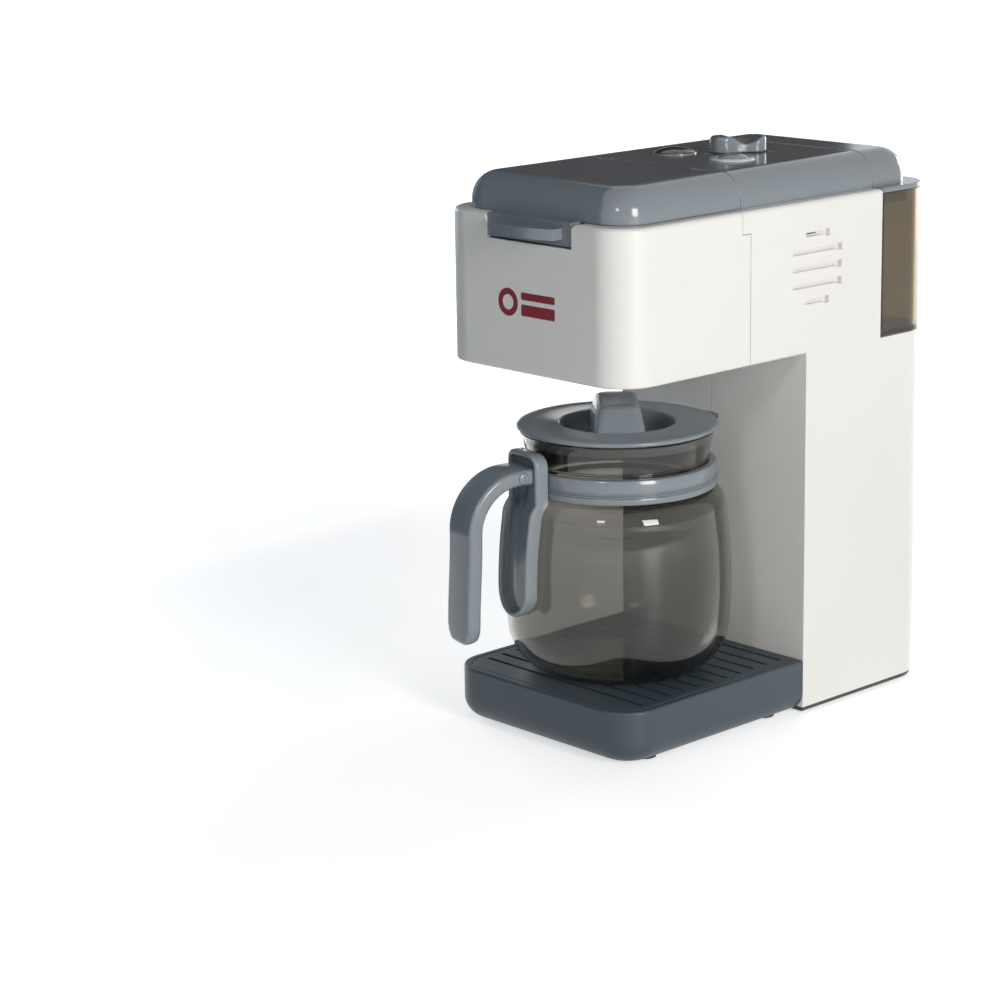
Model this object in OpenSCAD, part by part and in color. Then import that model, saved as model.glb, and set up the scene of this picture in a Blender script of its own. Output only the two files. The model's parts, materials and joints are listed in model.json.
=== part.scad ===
// Toy coffee maker: a head with a powder hopper, a column with a water tank and a pump,
// a drip tray with a slotted plate, and a jug with a hooked handle and a twist lid.
// The front faces -Y and +Z is up. The origin is on the table, under the middle of the outline.

/* [Housing] */
// Width of the machine
body_w = 105; // [98:1:112]
// Reach of the head in front of the column
head_reach = 105.2; // [102:0.2:112]
// Depth of the column
column_d = 81.8; // [78:0.2:92]
// Place of the column's front face behind the middle of the outline
column_y = 26; // [18:0.1:30]
// Height of the underside of the head
head_z = 154.1; // [152:0.1:166]
// Height of the head from its underside to the white top edge
head_h = 62.2; // [58:0.1:70]
// Corner radius of the head and the column, seen from above
corner_r = 16; // [12:0.5:19]
// Wall of the white shells
wall = 2.2; // [1.8:0.1:2.8]
// Radius along the top edge of the white shells
edge_r = 1.8; // [0.8:0.1:2]
// Radius along the lower edge of the white shells
low_edge_r = 1.2; // [0.5:0.1:1.8]
// Reach of the front shell from the head's front to its seam
front_shell_d = 71.1; // [68:0.1:74]
// Width of the parting lines between two shells
seam_gap = 0.3; // [0.2:0.1:0.5]

/* [Top covers] */
// Inset of the grey covers from the white walls
cover_inset = 5.5; // [4:0.1:7]
// Height of the grey covers above the white top edge
cover_h = 14.5; // [13.5:0.1:17]
// Radius of the covers' upper edge
cover_r = 11.2; // [9:0.1:12]
// Corner radius of the covers, seen from above
cover_plan_r = 14.5; // [13:0.1:18]
// Wall of the covers
cover_wall = 2; // [1.6:0.1:2.4]
// Depth of the front lid from the head's front to its seam
lid_d = 71; // [69:0.1:74]
// Depth of the control panel between the two lids
panel_d = 81; // [78:0.1:84]
// Half width of the lid's tab
tab_half_w = 23.3; // [18:0.1:28]
// Height of the tab below the white top edge
tab_drop = 9.1; // [7:0.1:12]
// Gap around the tab in its notch
tab_gap = 0.7; // [0.4:0.1:1]
// Reach of the finger lip in front of the head
finger_reach = 8; // [5:0.1:9]
// Thickness of the finger lip
finger_t = 4.4; // [3:0.1:5]

/* [Hinges] */
// Radius of the steel hinge pins
pin_r = 0.8; // [0.7:0.05:0.9]
// Running clearance of a pin in the lid, in radius
pin_play = 0.06; // [0.03:0.01:0.1]
// Radius of the hinge knuckles
knuckle_r = 1.6; // [1.5:0.1:1.8]
// Width of the panel's hinge ears
ear_w = 5; // [4:0.5:8]
// Place of the ears on each side of the middle
ear_x = 26; // [20:1:30]
// Length of a hinge pin
pin_l = 15; // [13:0.5:18]

/* [Controls] */
// Distance of the two buttons from the middle
button_x = 16.3; // [15:0.1:18]
// Place of the buttons behind the front lid's seam
button_d = 29.2; // [27:0.1:32]
// Radius of the dark button
brew_r = 8.2; // [7:0.1:9]
// Radius of the light button
light_r = 6.3; // [5.5:0.1:6.8]
// Outer radius of the clear ring
ring_r = 9; // [8.4:0.1:10]
// Height of the buttons' domes
dome_h = 2.5; // [1.8:0.1:3]
// Travel of the buttons
button_travel = 1.2; // [0.8:0.1:1.4]
// Place of the knob behind the front lid's seam
knob_d = 48; // [46:0.1:52]
// Sideways place of the knob
knob_x = 2; // [-2:0.1:4]
// Length of the knob's grip
knob_l = 24; // [20:0.5:27]
// Width of the knob's grip
knob_w = 12; // [10:0.5:14]
// Height of the knob's grip
knob_h = 7; // [6:0.1:9]
// Turn of the knob's grip to the right
knob_turn = 30; // [0:5:45]
// Dip of the saddle in the knob's top
saddle = 3.2; // [2:0.1:4]

/* [Water tank] */
// Height of the tank's foot
tank_z = 154.3; // [146:0.1:170]
// Wall of the tank
tank_wall = 2; // [1.6:0.1:2.4]
// Thickness of the tank lid's flange
flange_t = 2; // [1.6:0.1:2.4]

/* [Drip tray] */
// Height of the tray's rim
tray_h = 23.6; // [20:0.1:28]
// Radius along the tray's lower edge
tray_low_r = 9; // [6:0.5:11]
// Width of the rim around the slotted plate
rim_w = 3.2; // [2.6:0.1:5]
// Thickness of the slotted plate
grille_t = 2.4; // [2:0.1:3]
// Distance from one slot to the next
slot_pitch = 8.27; // [7:0.01:10]
// Width of a slot
slot_w = 1.7; // [1.2:0.1:2.4]
// Length of a slot
slot_l = 91; // [80:1:93]
// Place of the first slot behind the head's front
first_slot = 16.3; // [14:0.1:20]

/* [Jug] */
// Distance of the jug's axis in front of the column
jug_reach = 56.4; // [53:0.1:58]
// Largest radius of the jug
jug_r = 46.8; // [42:0.1:47.5]
// Height of the jug's belly
belly_h = 69; // [60:0.5:72]
// Height of the shoulder above the belly
shoulder_h = 8.6; // [7.5:0.1:11]
// Radius of the neck
neck_r = 36.8; // [34:0.1:38]
// Height of the neck above the shoulder
neck_h = 23.7; // [21:0.1:25]
// Spread of the neck at its rim
neck_flare = 2.9; // [1.5:0.1:3.5]
// Wall of the jug
jug_wall = 1.8; // [1.4:0.1:2.2]
// Height of the grey neck band
band_h = 9.8; // [8:0.1:11]
// Thickness of the neck band
band_t = 3.2; // [2.4:0.1:4]
// Thickness of the lid's disc
jug_lid_t = 2; // [1.6:0.1:2.6]
// Overhang of the lid's disc past the rim
jug_lid_over = 1.5; // [1:0.1:2.5]
// Radius of the well in the lid
well_r = 23.5; // [20:0.5:26]
// Depth of the well in the lid
well_d = 8; // [6:0.5:10]
// Height of the grip above the lid
grip_h = 9.6; // [7:0.1:12]
// Width of the grip
grip_w = 21; // [16:0.5:24]
// Turn of the lid's grip from the front
grip_turn = 48; // [0:1:90]
// Turn of the jug's handle from the front
handle_turn = 12; // [0:1:30]
// Distance of the grip's outer face from the jug's axis
handle_reach = 75.6; // [72:0.1:78]
// Width of the handle
handle_w = 17.4; // [14:0.1:20]
// Thickness of the handle
handle_t = 6.2; // [5:0.1:8]
// Height of the handle's arm above the jug's foot
arm_h = 88; // [86:0.1:90]
// Height of the handle's free end above the jug's foot
handle_low = 21; // [16:0.5:30]
// Width of the channel that holds the handle
strap_w = 22; // [20:0.5:25]
// Depth of that channel
strap_t = 5.6; // [4:0.1:7]
// Height of the channel's lower end above the jug's foot
strap_low = 29; // [24:1:40]

/* [Works] */
// Radius of a battery
cell_r = 7.1; // [7:0.05:7.2]
// Length of a battery
cell_l = 50.4; // [49:0.1:51]
// Number of batteries
cells = 3; // [2:1:3]
// Thickness of the bottom plate
plate_t = 2; // [1.6:0.1:2.6]
// Height of the rubber feet under the plate
foot_h = 1; // [0.8:0.1:1.5]

/* [Hidden] */
$fn = 64;

// Colours of the plastics
white_abs = "#eeedea";
grey_abs = "#8a9196";
dark_abs = "#3a3d40";
smoke = [0.42, 0.40, 0.36, 0.55];
steel = "#c3c7ca";

// Small fits that many pieces share
rest_gap = 0.3;
fit = 0.1;
over = 1;

// Places of the housing
half_w = body_w / 2;
front_y = column_y - head_reach;
rear_y = column_y + column_d;
shell_z = head_z + head_h;
shell_seam_y = front_y + front_shell_d;
plate_z = foot_h;
housing_z = plate_z + plate_t;
flange_in = cover_inset + 4;
lip_t = 1.2;
lip_l = 3;
step_d = 4.6;
step_w = 5;
step_z = shell_z - 8.9;

// Places of the covers
cover_half_w = half_w - cover_inset;
cover_z = shell_z + cover_h;
lid_seam_y = front_y + lid_d;
tank_seam_y = lid_seam_y + panel_d;
pin_z = cover_z - knuckle_r;
pin_back = seam_gap / 2 + knuckle_r;
front_pin_y = lid_seam_y - pin_back;
tank_pin_y = tank_seam_y + pin_back;
notch_z = shell_z - tab_drop - tab_gap;

// Middle of the slots in the side walls
vent_y = column_y + 6.3;
vent_z = shell_z - 27.3;

// Tub for the powder, carried by its rim on the shell's ledge
tub_h = 12;
tub_wall = 1.6;
tub_in = 12.5;
tub_r = 8;
tub_rear = shell_seam_y - 4.5;

// Places of the tank and its pocket
tank_y = tank_seam_y + seam_gap;
tank_top = shell_z - 1.9;
pocket_y = tank_y - seam_gap;
pocket_z = tank_z - seam_gap;
pocket_floor = pocket_z - wall;

// Places of the controls and the board under them
button_y = lid_seam_y + button_d;
knob_y = lid_seam_y + knob_d;
skin_z = cover_z - cover_wall;
board_t = 1.6;
board_z = cover_z - 13.8;
board_top = board_z + board_t;
switch_h = 3.5;
plunger_r = 1.7;
plunger_h = 3;
plunger_z = board_top + switch_h + button_travel + rest_gap;
knob_gap = 0.3;
shaft_r = 3;
sleeve_r = ring_r - 1.3;
ring_low = skin_z - 1.2;
board_w = 62;
board_y0 = lid_seam_y + 12;
board_y1 = knob_y + 15;

// Places of the jug
jug_y = column_y - jug_reach;
jug_z = tray_h + rest_gap;
foot_in = 18.4;
foot_rise = 22;
foot_taper = 0.6;
belly_mid = 38;
belly_taper = 2.3;
rim_z = belly_h + shoulder_h + neck_h;
band_z = belly_h + shoulder_h + rest_gap;
strap_out = neck_r + band_t + 1.4;
pin_hole_r = 1.5;

// Places of the works
pump_x = 22;
pump_r = 12.5;
pump_y = rear_y - wall - pump_r - 5.5;
pump_z = pocket_floor - 10.5;
pump_ear_x = 16.5;
nozzle_r = 7;
pipe_r = 2.6;
tube_wall = 0.8;
tube_y = pump_y - 25;
tube_z = shell_z - 28;
cell_pitch = 2 * cell_r + 1;
box_w = cells * cell_pitch + 1;
box_l = cell_l + 7;
box_x = -half_w + wall + 3 + box_w / 2;
box_y = column_y + 36;
box_h = 2 * cell_r + 1.2;
speaker_r = 13.5;
speaker_x = half_w - 13 - speaker_r;
speaker_y = column_y + 24;
door_w = box_w - 3;
door_l = box_l - 3;
ledge_w = 1.6;
tongue_w = 60;
tongue_t = 3;
foot_r = 5;
foot_sink = 0.6;
feet = [
    for (side = [-1, 1]) for (y = [front_y + 22, column_y - 12, rear_y - 10])
        [side * (half_w - 12), y]
];
screw_r = 1.4;
screw_l = 38;
screw_seat_x = -half_w / 2 - 4;
boss_r = 3.6;
case_bosses = [
    [column_y + 10, 34], [rear_y - 14, 34], [column_y + 10, head_z - 24],
    [rear_y - 14, head_z - 62], [column_y - 20, head_z + 12]
];

// ---------------------------------------------------------------- shared forms

// Right half of a section with a rounded upper and lower outer corner
module half_section(w, h, top_r, low_r) {
    intersection() {
        union() {
            translate([0, low_r]) square([w, h - top_r - low_r]);
            translate([0, h - top_r - 0.001]) square([w - top_r, top_r + 0.001]);
            square([w - low_r, low_r + 0.001]);
            if (top_r > 0) translate([w - top_r, h - top_r]) circle(top_r);
            if (low_r > 0) translate([w - low_r, low_r]) circle(low_r);
        }
        square([w + over, h]);
    }
}

// Length of that section from y0 to y1, mirrored to the full width
module beam(hw, y0, y1, h, top_r = 0, low_r = 0) {
    translate([0, y1, 0]) rotate([90, 0, 0]) linear_extrude(y1 - y0) {
        half_section(hw, h, top_r, low_r);
        mirror([1, 0]) half_section(hw, h, top_r, low_r);
    }
}

// Block with two rounded corners at the front, and its edges rounded like the section
module block(hw, y0, y1, plan_r, h, top_r = 0, low_r = 0) {
    beam(hw, y0 + plan_r, y1, h, top_r, low_r);
    translate([hw - plan_r, y0 + plan_r, 0]) rotate([90, 0, -90])
        linear_extrude(2 * (hw - plan_r)) half_section(plan_r, h, top_r, low_r);
    translate([hw - plan_r, y0 + plan_r, 0]) rotate([0, 0, -90])
        rotate_extrude(angle = 90) half_section(plan_r, h, top_r, low_r);
    translate([plan_r - hw, y0 + plan_r, 0]) rotate([0, 0, 180])
        rotate_extrude(angle = 90) half_section(plan_r, h, top_r, low_r);
}

// The same block with its rounded corners at the rear
module rear_block(hw, y0, y1, plan_r, h, top_r = 0, low_r = 0) {
    mirror([0, 1, 0]) block(hw, -y1, -y0, plan_r, h, top_r, low_r);
}

// Round bar along a path of straight stretches, with a round bend at each corner
module piped(points, r, bend) {
    last = len(points) - 1;
    function way(i) = (points[i + 1] - points[i]) / norm(points[i + 1] - points[i]);
    for (i = [0 : last - 1]) {
        cut = (i > 0 ? bend : 0);
        len = norm(points[i + 1] - points[i]) - cut - (i < last - 1 ? bend : 0);
        along = way(i);
        translate(points[i] + along * cut)
            rotate([0, acos(along[2]), atan2(along[1], along[0])]) cylinder(r = r, h = len);
    }
    for (i = [1 : 1 : last - 1]) {
        x = -way(i);
        y = way(i - 1);
        z = cross(x, y);
        c = points[i] - bend * (x + y);
        multmatrix([
            [x[0], y[0], z[0], c[0]], [x[1], y[1], z[1], c[1]], [x[2], y[2], z[2], c[2]], [0, 0, 0, 1]
        ]) rotate_extrude(angle = 90) translate([bend, 0]) circle(r);
    }
}

// Bar along X, centred
module cross_bar(y, z, r, len, x = 0) {
    translate([x - len / 2, y, z]) rotate([0, 90, 0]) cylinder(r = r, h = len);
}

// Round dome of radius r and height h on a straight edge
module dome(r, h, edge) {
    rise = h - edge;
    ball = (r * r + rise * rise) / (2 * rise);
    cylinder(r = r, h = edge);
    intersection() {
        translate([0, 0, h - ball]) sphere(ball, $fn = 128);
        cylinder(r = r, h = h + over);
    }
}

// ---------------------------------------------------------------- white shells

// Notch for the lid's tab, with its two upper corners rounded outwards
module tab_notch() {
    notch_w = tab_half_w + tab_gap;
    round_r = 2.6;
    translate([0, front_y + flange_in + over, 0]) rotate([90, 0, 0])
        linear_extrude(flange_in + 2 * over) {
            translate([-notch_w, notch_z]) square([2 * notch_w, shell_z - notch_z + over]);
            for (side = [-1, 1]) difference() {
                translate([side * notch_w - round_r, shell_z - round_r])
                    square([2 * round_r, round_r + over]);
                translate([side * (notch_w + round_r), shell_z - round_r]) circle(round_r);
            }
        }
}

// Front of the head: floor, three walls and the ledge that carries the lid
module front_shell() {
    color(white_abs) difference() {
        translate([0, 0, head_z])
            block(half_w, front_y, shell_seam_y, corner_r, head_h, edge_r, low_edge_r);
        translate([0, 0, head_z + wall])
            block(half_w - wall, front_y + wall, shell_seam_y + over, corner_r - wall,
                  head_h - 2 * wall);
        translate([0, 0, shell_z - wall - over])
            block(half_w - flange_in, front_y + flange_in, shell_seam_y + over,
                  corner_r - flange_in / 2, wall + 2 * over);
        tab_notch();
        for (side = [-1, 1])
            translate([side * half_w - step_w, shell_seam_y - step_d - seam_gap,
                       step_z - seam_gap])
                cube([2 * step_w, step_d + seam_gap + over, head_h]);
        translate([0, jug_y, head_z - over]) cylinder(r = nozzle_r + fit, h = wall + 2 * over);
    }
}

// Slots in the side wall: three long ones between two short ones, each with a wider end
module side_slots() {
    slot_h = 1.6;
    deep = 2.3;
    spacing = 6.9;
    for (row = [-2 : 2]) {
        long = abs(row) < 2 ? 30 : 14.5;
        z = vent_z + row * spacing;
        for (side = [-1, 1]) {
            translate([side * half_w - deep, vent_y - long / 2, z - slot_h / 2])
                cube([2 * deep, long, slot_h]);
            translate([side * half_w - deep, vent_y + long / 2 - 2.6, z - 1.5])
                cube([2 * deep, 2.6, 3]);
            if (row == 2)
                translate([side * half_w - 5, vent_y - long / 2 + 1, z - 0.3])
                    cube([10, 8, 0.6]);
        }
    }
}

// Both rear halves in one: column, back of the head and the pocket for the tank
module housing() {
    inner_w = half_w - wall;
    head_inner_z = head_z + wall;
    column_h = shell_z - housing_z;
    difference() {
        union() {
            translate([0, 0, housing_z])
                rear_block(half_w, column_y, rear_y, corner_r, column_h, edge_r, 0);
            translate([0, 0, head_z])
                beam(half_w, shell_seam_y + seam_gap, column_y + corner_r, head_h, edge_r,
                     low_edge_r);
            intersection() {
                translate([0, 0, head_z])
                    beam(half_w, shell_seam_y - step_d, column_y, head_h, edge_r, low_edge_r);
                for (side = [-1, 1])
                    translate([side * half_w - step_w + seam_gap, shell_seam_y - step_d, step_z])
                        cube([2 * (step_w - seam_gap), step_d + over, head_h]);
            }
        }
        // Room in the column below the tank's pocket
        translate([0, 0, housing_z - over])
            rear_block(inner_w, column_y + wall, rear_y - wall, corner_r - wall,
                       pocket_floor - housing_z + over);
        // Room in front of the tank
        translate([0, 0, pocket_floor - over])
            beam(inner_w, column_y + wall, pocket_y - wall, shell_z - wall - pocket_floor + over);
        // Room in the head
        translate([0, 0, head_inner_z])
            beam(inner_w, shell_seam_y, column_y + wall + over, head_h - 2 * wall);
        translate([0, 0, shell_z - wall - over])
            beam(half_w - flange_in, shell_seam_y - step_d - over, pocket_y - wall - over,
                 wall + 2 * over);
        // Pocket for the tank, with a hole for its outlet
        translate([-half_w - over, pocket_y, pocket_z])
            cube([body_w + 2 * over, column_d, shell_z]);
        translate([pump_x, pump_y, pocket_floor - over]) cylinder(r = 5, h = wall + 2 * over);
        tray_slot();
        side_slots();
    }
    slot_pads();
    shell_lip();
    for (place = case_bosses) cross_bar(place[0], place[1], boss_r, 2 * inner_w);
    pump_posts();
}

// Thicker wall behind the slots, so that they stay shallow
module slot_pads() {
    pad_t = 1.6;
    difference() {
        for (side = [-1, 1])
            translate([side * (half_w - wall - pad_t / 2), vent_y, vent_z])
                cube([pad_t, 36, 34], center = true);
        side_slots();
    }
}

// Tongue of the rear halves inside the front shell
module shell_lip() {
    outer = half_w - wall;
    inner = outer - lip_t - 0.15;
    low = head_z + wall;
    high = head_h - 2 * wall - 8;
    difference() {
        union() {
            translate([0, 0, low + 0.15])
                beam(outer - 0.15, shell_seam_y - lip_l, shell_seam_y + seam_gap, high);
            translate([0, 0, low]) beam(outer, shell_seam_y + seam_gap, shell_seam_y + 4, high);
        }
        translate([0, 0, low + lip_t + 0.15])
            beam(inner, shell_seam_y - lip_l - over, shell_seam_y + 5, head_h);
    }
}

// Slot in the column's front wall for the tray's tongue
module tray_slot() {
    translate([-tongue_w / 2 - rest_gap, column_y - over, housing_z - over])
        cube([tongue_w + 2 * rest_gap, wall + 2 * over, tongue_t + over + 2 * rest_gap]);
}

// Two posts under the pocket that carry the pump
module pump_posts() {
    for (side = [-1, 1])
        translate([pump_x + side * pump_ear_x, pump_y, pump_z + 2])
            cylinder(r = 3, h = pocket_floor - pump_z - 2 + fit);
}

// Screw holes from the left side through the halves' bosses
module case_screw_holes() {
    for (place = case_bosses) {
        cross_bar(place[0], place[1], screw_r + 0.05, body_w - 2 * wall - 8);
        cross_bar(place[0], place[1], 3.1, half_w, screw_seat_x - half_w / 2);
    }
}

module housing_half(side) {
    difference() {
        intersection() {
            housing();
            translate([side > 0 ? 0 : -half_w - over, front_y, 0])
                cube([half_w + over, 2 * rear_y - front_y, shell_z + over]);
        }
        case_screw_holes();
        // Groove along the parting line on the column's front face
        if (side < 0) translate([-0.35, column_y - over, housing_z - over])
            cube([0.36, over + 0.8, head_z - housing_z + over]);
    }
}

module housing_right() { color(white_abs) housing_half(1); }

module housing_left() { color(white_abs) housing_half(-1); }

// ---------------------------------------------------------------- top covers

// Space behind a lid's pin line that the lid must leave free to turn
module turning_edge(pin_y, dir) {
    depth = 6;
    difference() {
        translate([-half_w, dir > 0 ? pin_y : pin_y - depth, pin_z])
            cube([body_w, depth, knuckle_r + over]);
        cross_bar(pin_y, pin_z, knuckle_r, body_w + 2);
    }
}

// Barrels of a lid beside the panel's ears
module lid_barrels(pin_y) {
    barrel_w = 4;
    for (side = [-1, 1], end = [-1, 1])
        cross_bar(pin_y, pin_z, knuckle_r, barrel_w,
                  side * ear_x + end * (ear_w / 2 + rest_gap + barrel_w / 2));
}

// Room in a lid for the panel's ears, and the bores for the pins
module ear_room(pin_y, dir) {
    reach = knuckle_r + 0.35;
    for (side = [-1, 1])
        translate([side * ear_x - ear_w / 2 - rest_gap,
                   dir > 0 ? pin_y - reach : pin_y - 6, pin_z - knuckle_r - over])
            cube([ear_w + 2 * rest_gap, reach + 6, 2 * knuckle_r + 2 * over]);
    for (side = [-1, 1]) cross_bar(pin_y, pin_z, pin_r + pin_play, pin_l + 1, side * ear_x);
}

module lid_ribs(y0, y1) {
    for (x = [-14, 14])
        translate([x - 0.7, y0, skin_z - 3]) cube([1.4, y1 - y0, 3.2]);
}

module front_lid() {
    rear = lid_seam_y - seam_gap / 2;
    z0 = shell_z + rest_gap;
    h = cover_z - z0;
    color(grey_abs) {
        difference() {
            union() {
                difference() {
                    translate([0, 0, z0])
                        block(cover_half_w, front_y + cover_inset, rear, cover_plan_r, h, cover_r);
                    translate([0, 0, z0 - over])
                        block(cover_half_w - cover_wall, front_y + cover_inset + cover_wall,
                              rear + over, cover_plan_r - cover_wall, h + over - cover_wall,
                              cover_r - cover_wall);
                }
                lid_barrels(front_pin_y);
                lid_ribs(front_y + cover_inset + 8, front_pin_y - 4);
            }
            turning_edge(front_pin_y, 1);
            ear_room(front_pin_y, 1);
        }
        lid_tab();
    }
}

// Plate that hangs from the lid in the shell's notch, with the lip for a finger
module lid_tab() {
    face_in = 0.6;
    plate_d = 2.2;
    low = notch_z + tab_gap;
    ledge_t = 2;
    top = shell_z + rest_gap;
    lip_half = tab_half_w - 5;
    lip_z = top - 6.8;
    bow_rise = 4;
    bow = (lip_half * lip_half + bow_rise * bow_rise) / (2 * bow_rise);
    translate([-tab_half_w, front_y + face_in, low]) cube([2 * tab_half_w, plate_d, top - low]);
    translate([-tab_half_w, front_y + face_in, top - ledge_t])
        cube([2 * tab_half_w, cover_inset + cover_wall - face_in, ledge_t + fit]);
    translate([0, 0, lip_z]) linear_extrude(finger_t) intersection() {
        translate([0, front_y - finger_reach + bow]) circle(bow, $fn = 128);
        finger_outline(lip_half, front_y + face_in + fit);
    }
}

// Outline of the finger lip before its bow: a bar with two rounded front corners
module finger_outline(hw, y1) {
    r = 2;
    y0 = front_y - finger_reach;
    translate([-hw, y0 + r]) square([2 * hw, y1 - y0 - r]);
    translate([r - hw, y0]) square([2 * (hw - r), r + over]);
    for (side = [-1, 1]) translate([side * (hw - r), y0 + r]) circle(r);
}

// Ear of the panel around a hinge pin
module panel_ear(pin_y, edge_y) {
    low = min(pin_y, edge_y);
    for (side = [-1, 1]) {
        cross_bar(pin_y, pin_z, knuckle_r, ear_w, side * ear_x);
        translate([side * ear_x - ear_w / 2, low, pin_z - knuckle_r])
            cube([ear_w, abs(edge_y - pin_y), 2 * knuckle_r]);
    }
}

module control_panel() {
    y0 = lid_seam_y + seam_gap / 2;
    y1 = tank_seam_y - seam_gap / 2;
    color(grey_abs) difference() {
        union() {
            difference() {
                translate([0, 0, shell_z]) beam(cover_half_w, y0, y1, cover_h, cover_r);
                translate([0, 0, shell_z - over])
                    beam(cover_half_w - cover_wall, y0 + cover_wall, y1 - cover_wall,
                         cover_h + over - cover_wall, cover_r - cover_wall);
            }
            panel_ear(front_pin_y, y0 + fit);
            panel_ear(tank_pin_y, y1 - fit);
            // Raised rim round the dark button
            translate([-button_x, button_y, cover_z]) cylinder(r = brew_r + 0.9, h = 0.5);
            board_posts();
        }
        for (side = [-1, 1]) {
            cross_bar(front_pin_y, pin_z, pin_r + 0.01, ear_w + 2, side * ear_x);
            cross_bar(tank_pin_y, pin_z, pin_r + 0.01, ear_w + 2, side * ear_x);
        }
        translate([-button_x, button_y, skin_z - over])
            cylinder(r = brew_r + rest_gap, h = cover_wall + 3);
        translate([button_x, button_y, skin_z - over])
            cylinder(r = sleeve_r + fit, h = cover_wall + 2);
        translate([knob_x, knob_y, skin_z - over])
            cylinder(r = shaft_r + 0.05, h = cover_wall + 2);
        for (place = board_bosses())
            translate([place[0], place[1], board_top - over]) cylinder(r = 0.8, h = 8);
    }
}

function board_bosses() = [
    for (x = [-board_w / 2 + 4, board_w / 2 - 4], y = [board_y0 + 4, board_y1 - 4]) [x, y]
];

module board_posts() {
    for (place = board_bosses())
        translate([place[0], place[1], board_top]) cylinder(r = 2.4, h = skin_z - board_top + fit);
}

// Steel pins of one hinge line
module hinge_pins(pin_y) {
    color(steel) for (side = [-1, 1]) cross_bar(pin_y, pin_z, pin_r, pin_l, side * ear_x);
}

module front_lid_pins() { hinge_pins(front_pin_y); }

module tank_lid_pins() { hinge_pins(tank_pin_y); }

// Cover over the tank with its flange flush with the walls below
module tank_lid() {
    front = tank_seam_y + seam_gap / 2;
    flange_z = tank_top + rest_gap;
    h = cover_z - flange_z;
    skirt_h = 5;
    skirt_x = half_w - tank_wall - 0.8;
    color(grey_abs) {
        difference() {
            union() {
                difference() {
                    union() {
                        translate([0, 0, flange_z])
                            rear_block(half_w, front, rear_y, corner_r, flange_t, 0.6);
                        translate([0, 0, flange_z])
                            rear_block(cover_half_w, front, rear_y - cover_inset, cover_plan_r,
                                       h, cover_r);
                    }
                    translate([0, 0, flange_z - over])
                        rear_block(cover_half_w - cover_wall, front - over,
                                   rear_y - cover_inset - cover_wall,
                                   cover_plan_r - cover_wall, h + over - cover_wall,
                                   cover_r - cover_wall);
                }
                lid_barrels(tank_pin_y);
            }
            turning_edge(tank_pin_y, -1);
            ear_room(tank_pin_y, -1);
        }
        for (side = [-1, 1])
            translate([side * skirt_x - (side > 0 ? 1.6 : 0), tank_y + 3, flange_z - skirt_h])
                cube([1.6, rear_y - corner_r - tank_y - 4, skirt_h + fit]);
    }
}

// ---------------------------------------------------------------- water works

module water_tank() {
    h = tank_top - tank_z;
    color(smoke) difference() {
        union() {
            translate([0, 0, tank_z]) rear_block(half_w, tank_y, rear_y, corner_r, h, 0, 0.6);
            translate([pump_x, pump_y, pump_z + 4.4])
                cylinder(r = 3, h = tank_z - pump_z - 4.4 + fit);
        }
        translate([0, 0, tank_z + tank_wall])
            rear_block(half_w - tank_wall, tank_y + tank_wall, rear_y - tank_wall,
                       corner_r - tank_wall, h);
        translate([pump_x, pump_y, pump_z]) cylinder(r = 1.8, h = tank_z - pump_z + 3);
    }
}

module pump_motor() {
    head_t = 13;
    color(dark_abs) difference() {
        union() {
            translate([pump_x, pump_y, pump_z - head_t]) cylinder(r = pump_r, h = head_t);
            translate([pump_x, pump_y, pump_z - head_t - 25]) cylinder(r = 10, h = 26);
            translate([pump_x, pump_y, pump_z - over]) cylinder(r = 3, h = 4.9);
            translate([pump_x - pump_ear_x - 3.5, pump_y - 4, pump_z - 1])
                cube([2 * pump_ear_x + 7, 8, 2.9]);
            translate([pump_x, pump_y, pump_z - 6]) rotate([90, 0, 0])
                cylinder(r = pipe_r - 0.1, h = 17.5);
        }
        for (side = [-1, 1])
            translate([pump_x + side * pump_ear_x, pump_y, pump_z - 2])
                cylinder(r = screw_r, h = 5);
    }
}

module inlet_tube() {
    color("#d9dcdc") translate([pump_x, pump_y, pump_z + 2.1]) difference() {
        cylinder(r = 4.2, h = 6.2);
        translate([0, 0, -over]) cylinder(r = 3.1, h = 8.2);
    }
}

// Hose from the pump up the column and forward over the nozzle's cup
function hose_path(first, last) = [
    [pump_x, first, pump_z - 6], [pump_x, tube_y, pump_z - 6], [pump_x, tube_y, tube_z],
    [pump_x, jug_y, tube_z], [7, jug_y, tube_z], [7, jug_y, last]
];

module outlet_tube() {
    mouth = head_z + wall + 10;
    start = pump_y - 13;
    color("#d9dcdc") difference() {
        piped(hose_path(start, mouth), pipe_r + tube_wall, 7);
        piped(hose_path(start + over, mouth - over), pipe_r, 7);
    }
}

module outlet_nozzle() {
    cup_r = 14;
    seat = head_z + wall;
    color(grey_abs) translate([0, jug_y, 0]) rotate_extrude() polygon([
        [3, head_z - 4], [5, head_z - 4], [nozzle_r, head_z - 1], [nozzle_r, seat],
        [cup_r, seat], [cup_r, seat + 15], [cup_r - 1.6, seat + 15], [cup_r - 1.6, seat + 5],
        [3, seat + 1.6]
    ]);
}

// Tub that hangs by its rim from the shell's ledge
module hopper_tray() {
    rim = cover_inset + cover_wall + 0.6;
    rim_t = 1.4;
    rear = tub_rear + 3;
    color(white_abs) difference() {
        union() {
            translate([0, 0, shell_z])
                block(half_w - rim, front_y + rim, rear, cover_plan_r - rim / 2, rim_t, 0.5);
            translate([0, 0, shell_z - tub_h])
                block(half_w - tub_in, front_y + tub_in, tub_rear, tub_r, tub_h + fit, 0, 3);
        }
        translate([0, 0, shell_z - tub_h + tub_wall])
            block(half_w - tub_in - tub_wall, front_y + tub_in + tub_wall, tub_rear - tub_wall,
                  tub_r - tub_wall, tub_h + 3, 0, 2);
    }
}

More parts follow.
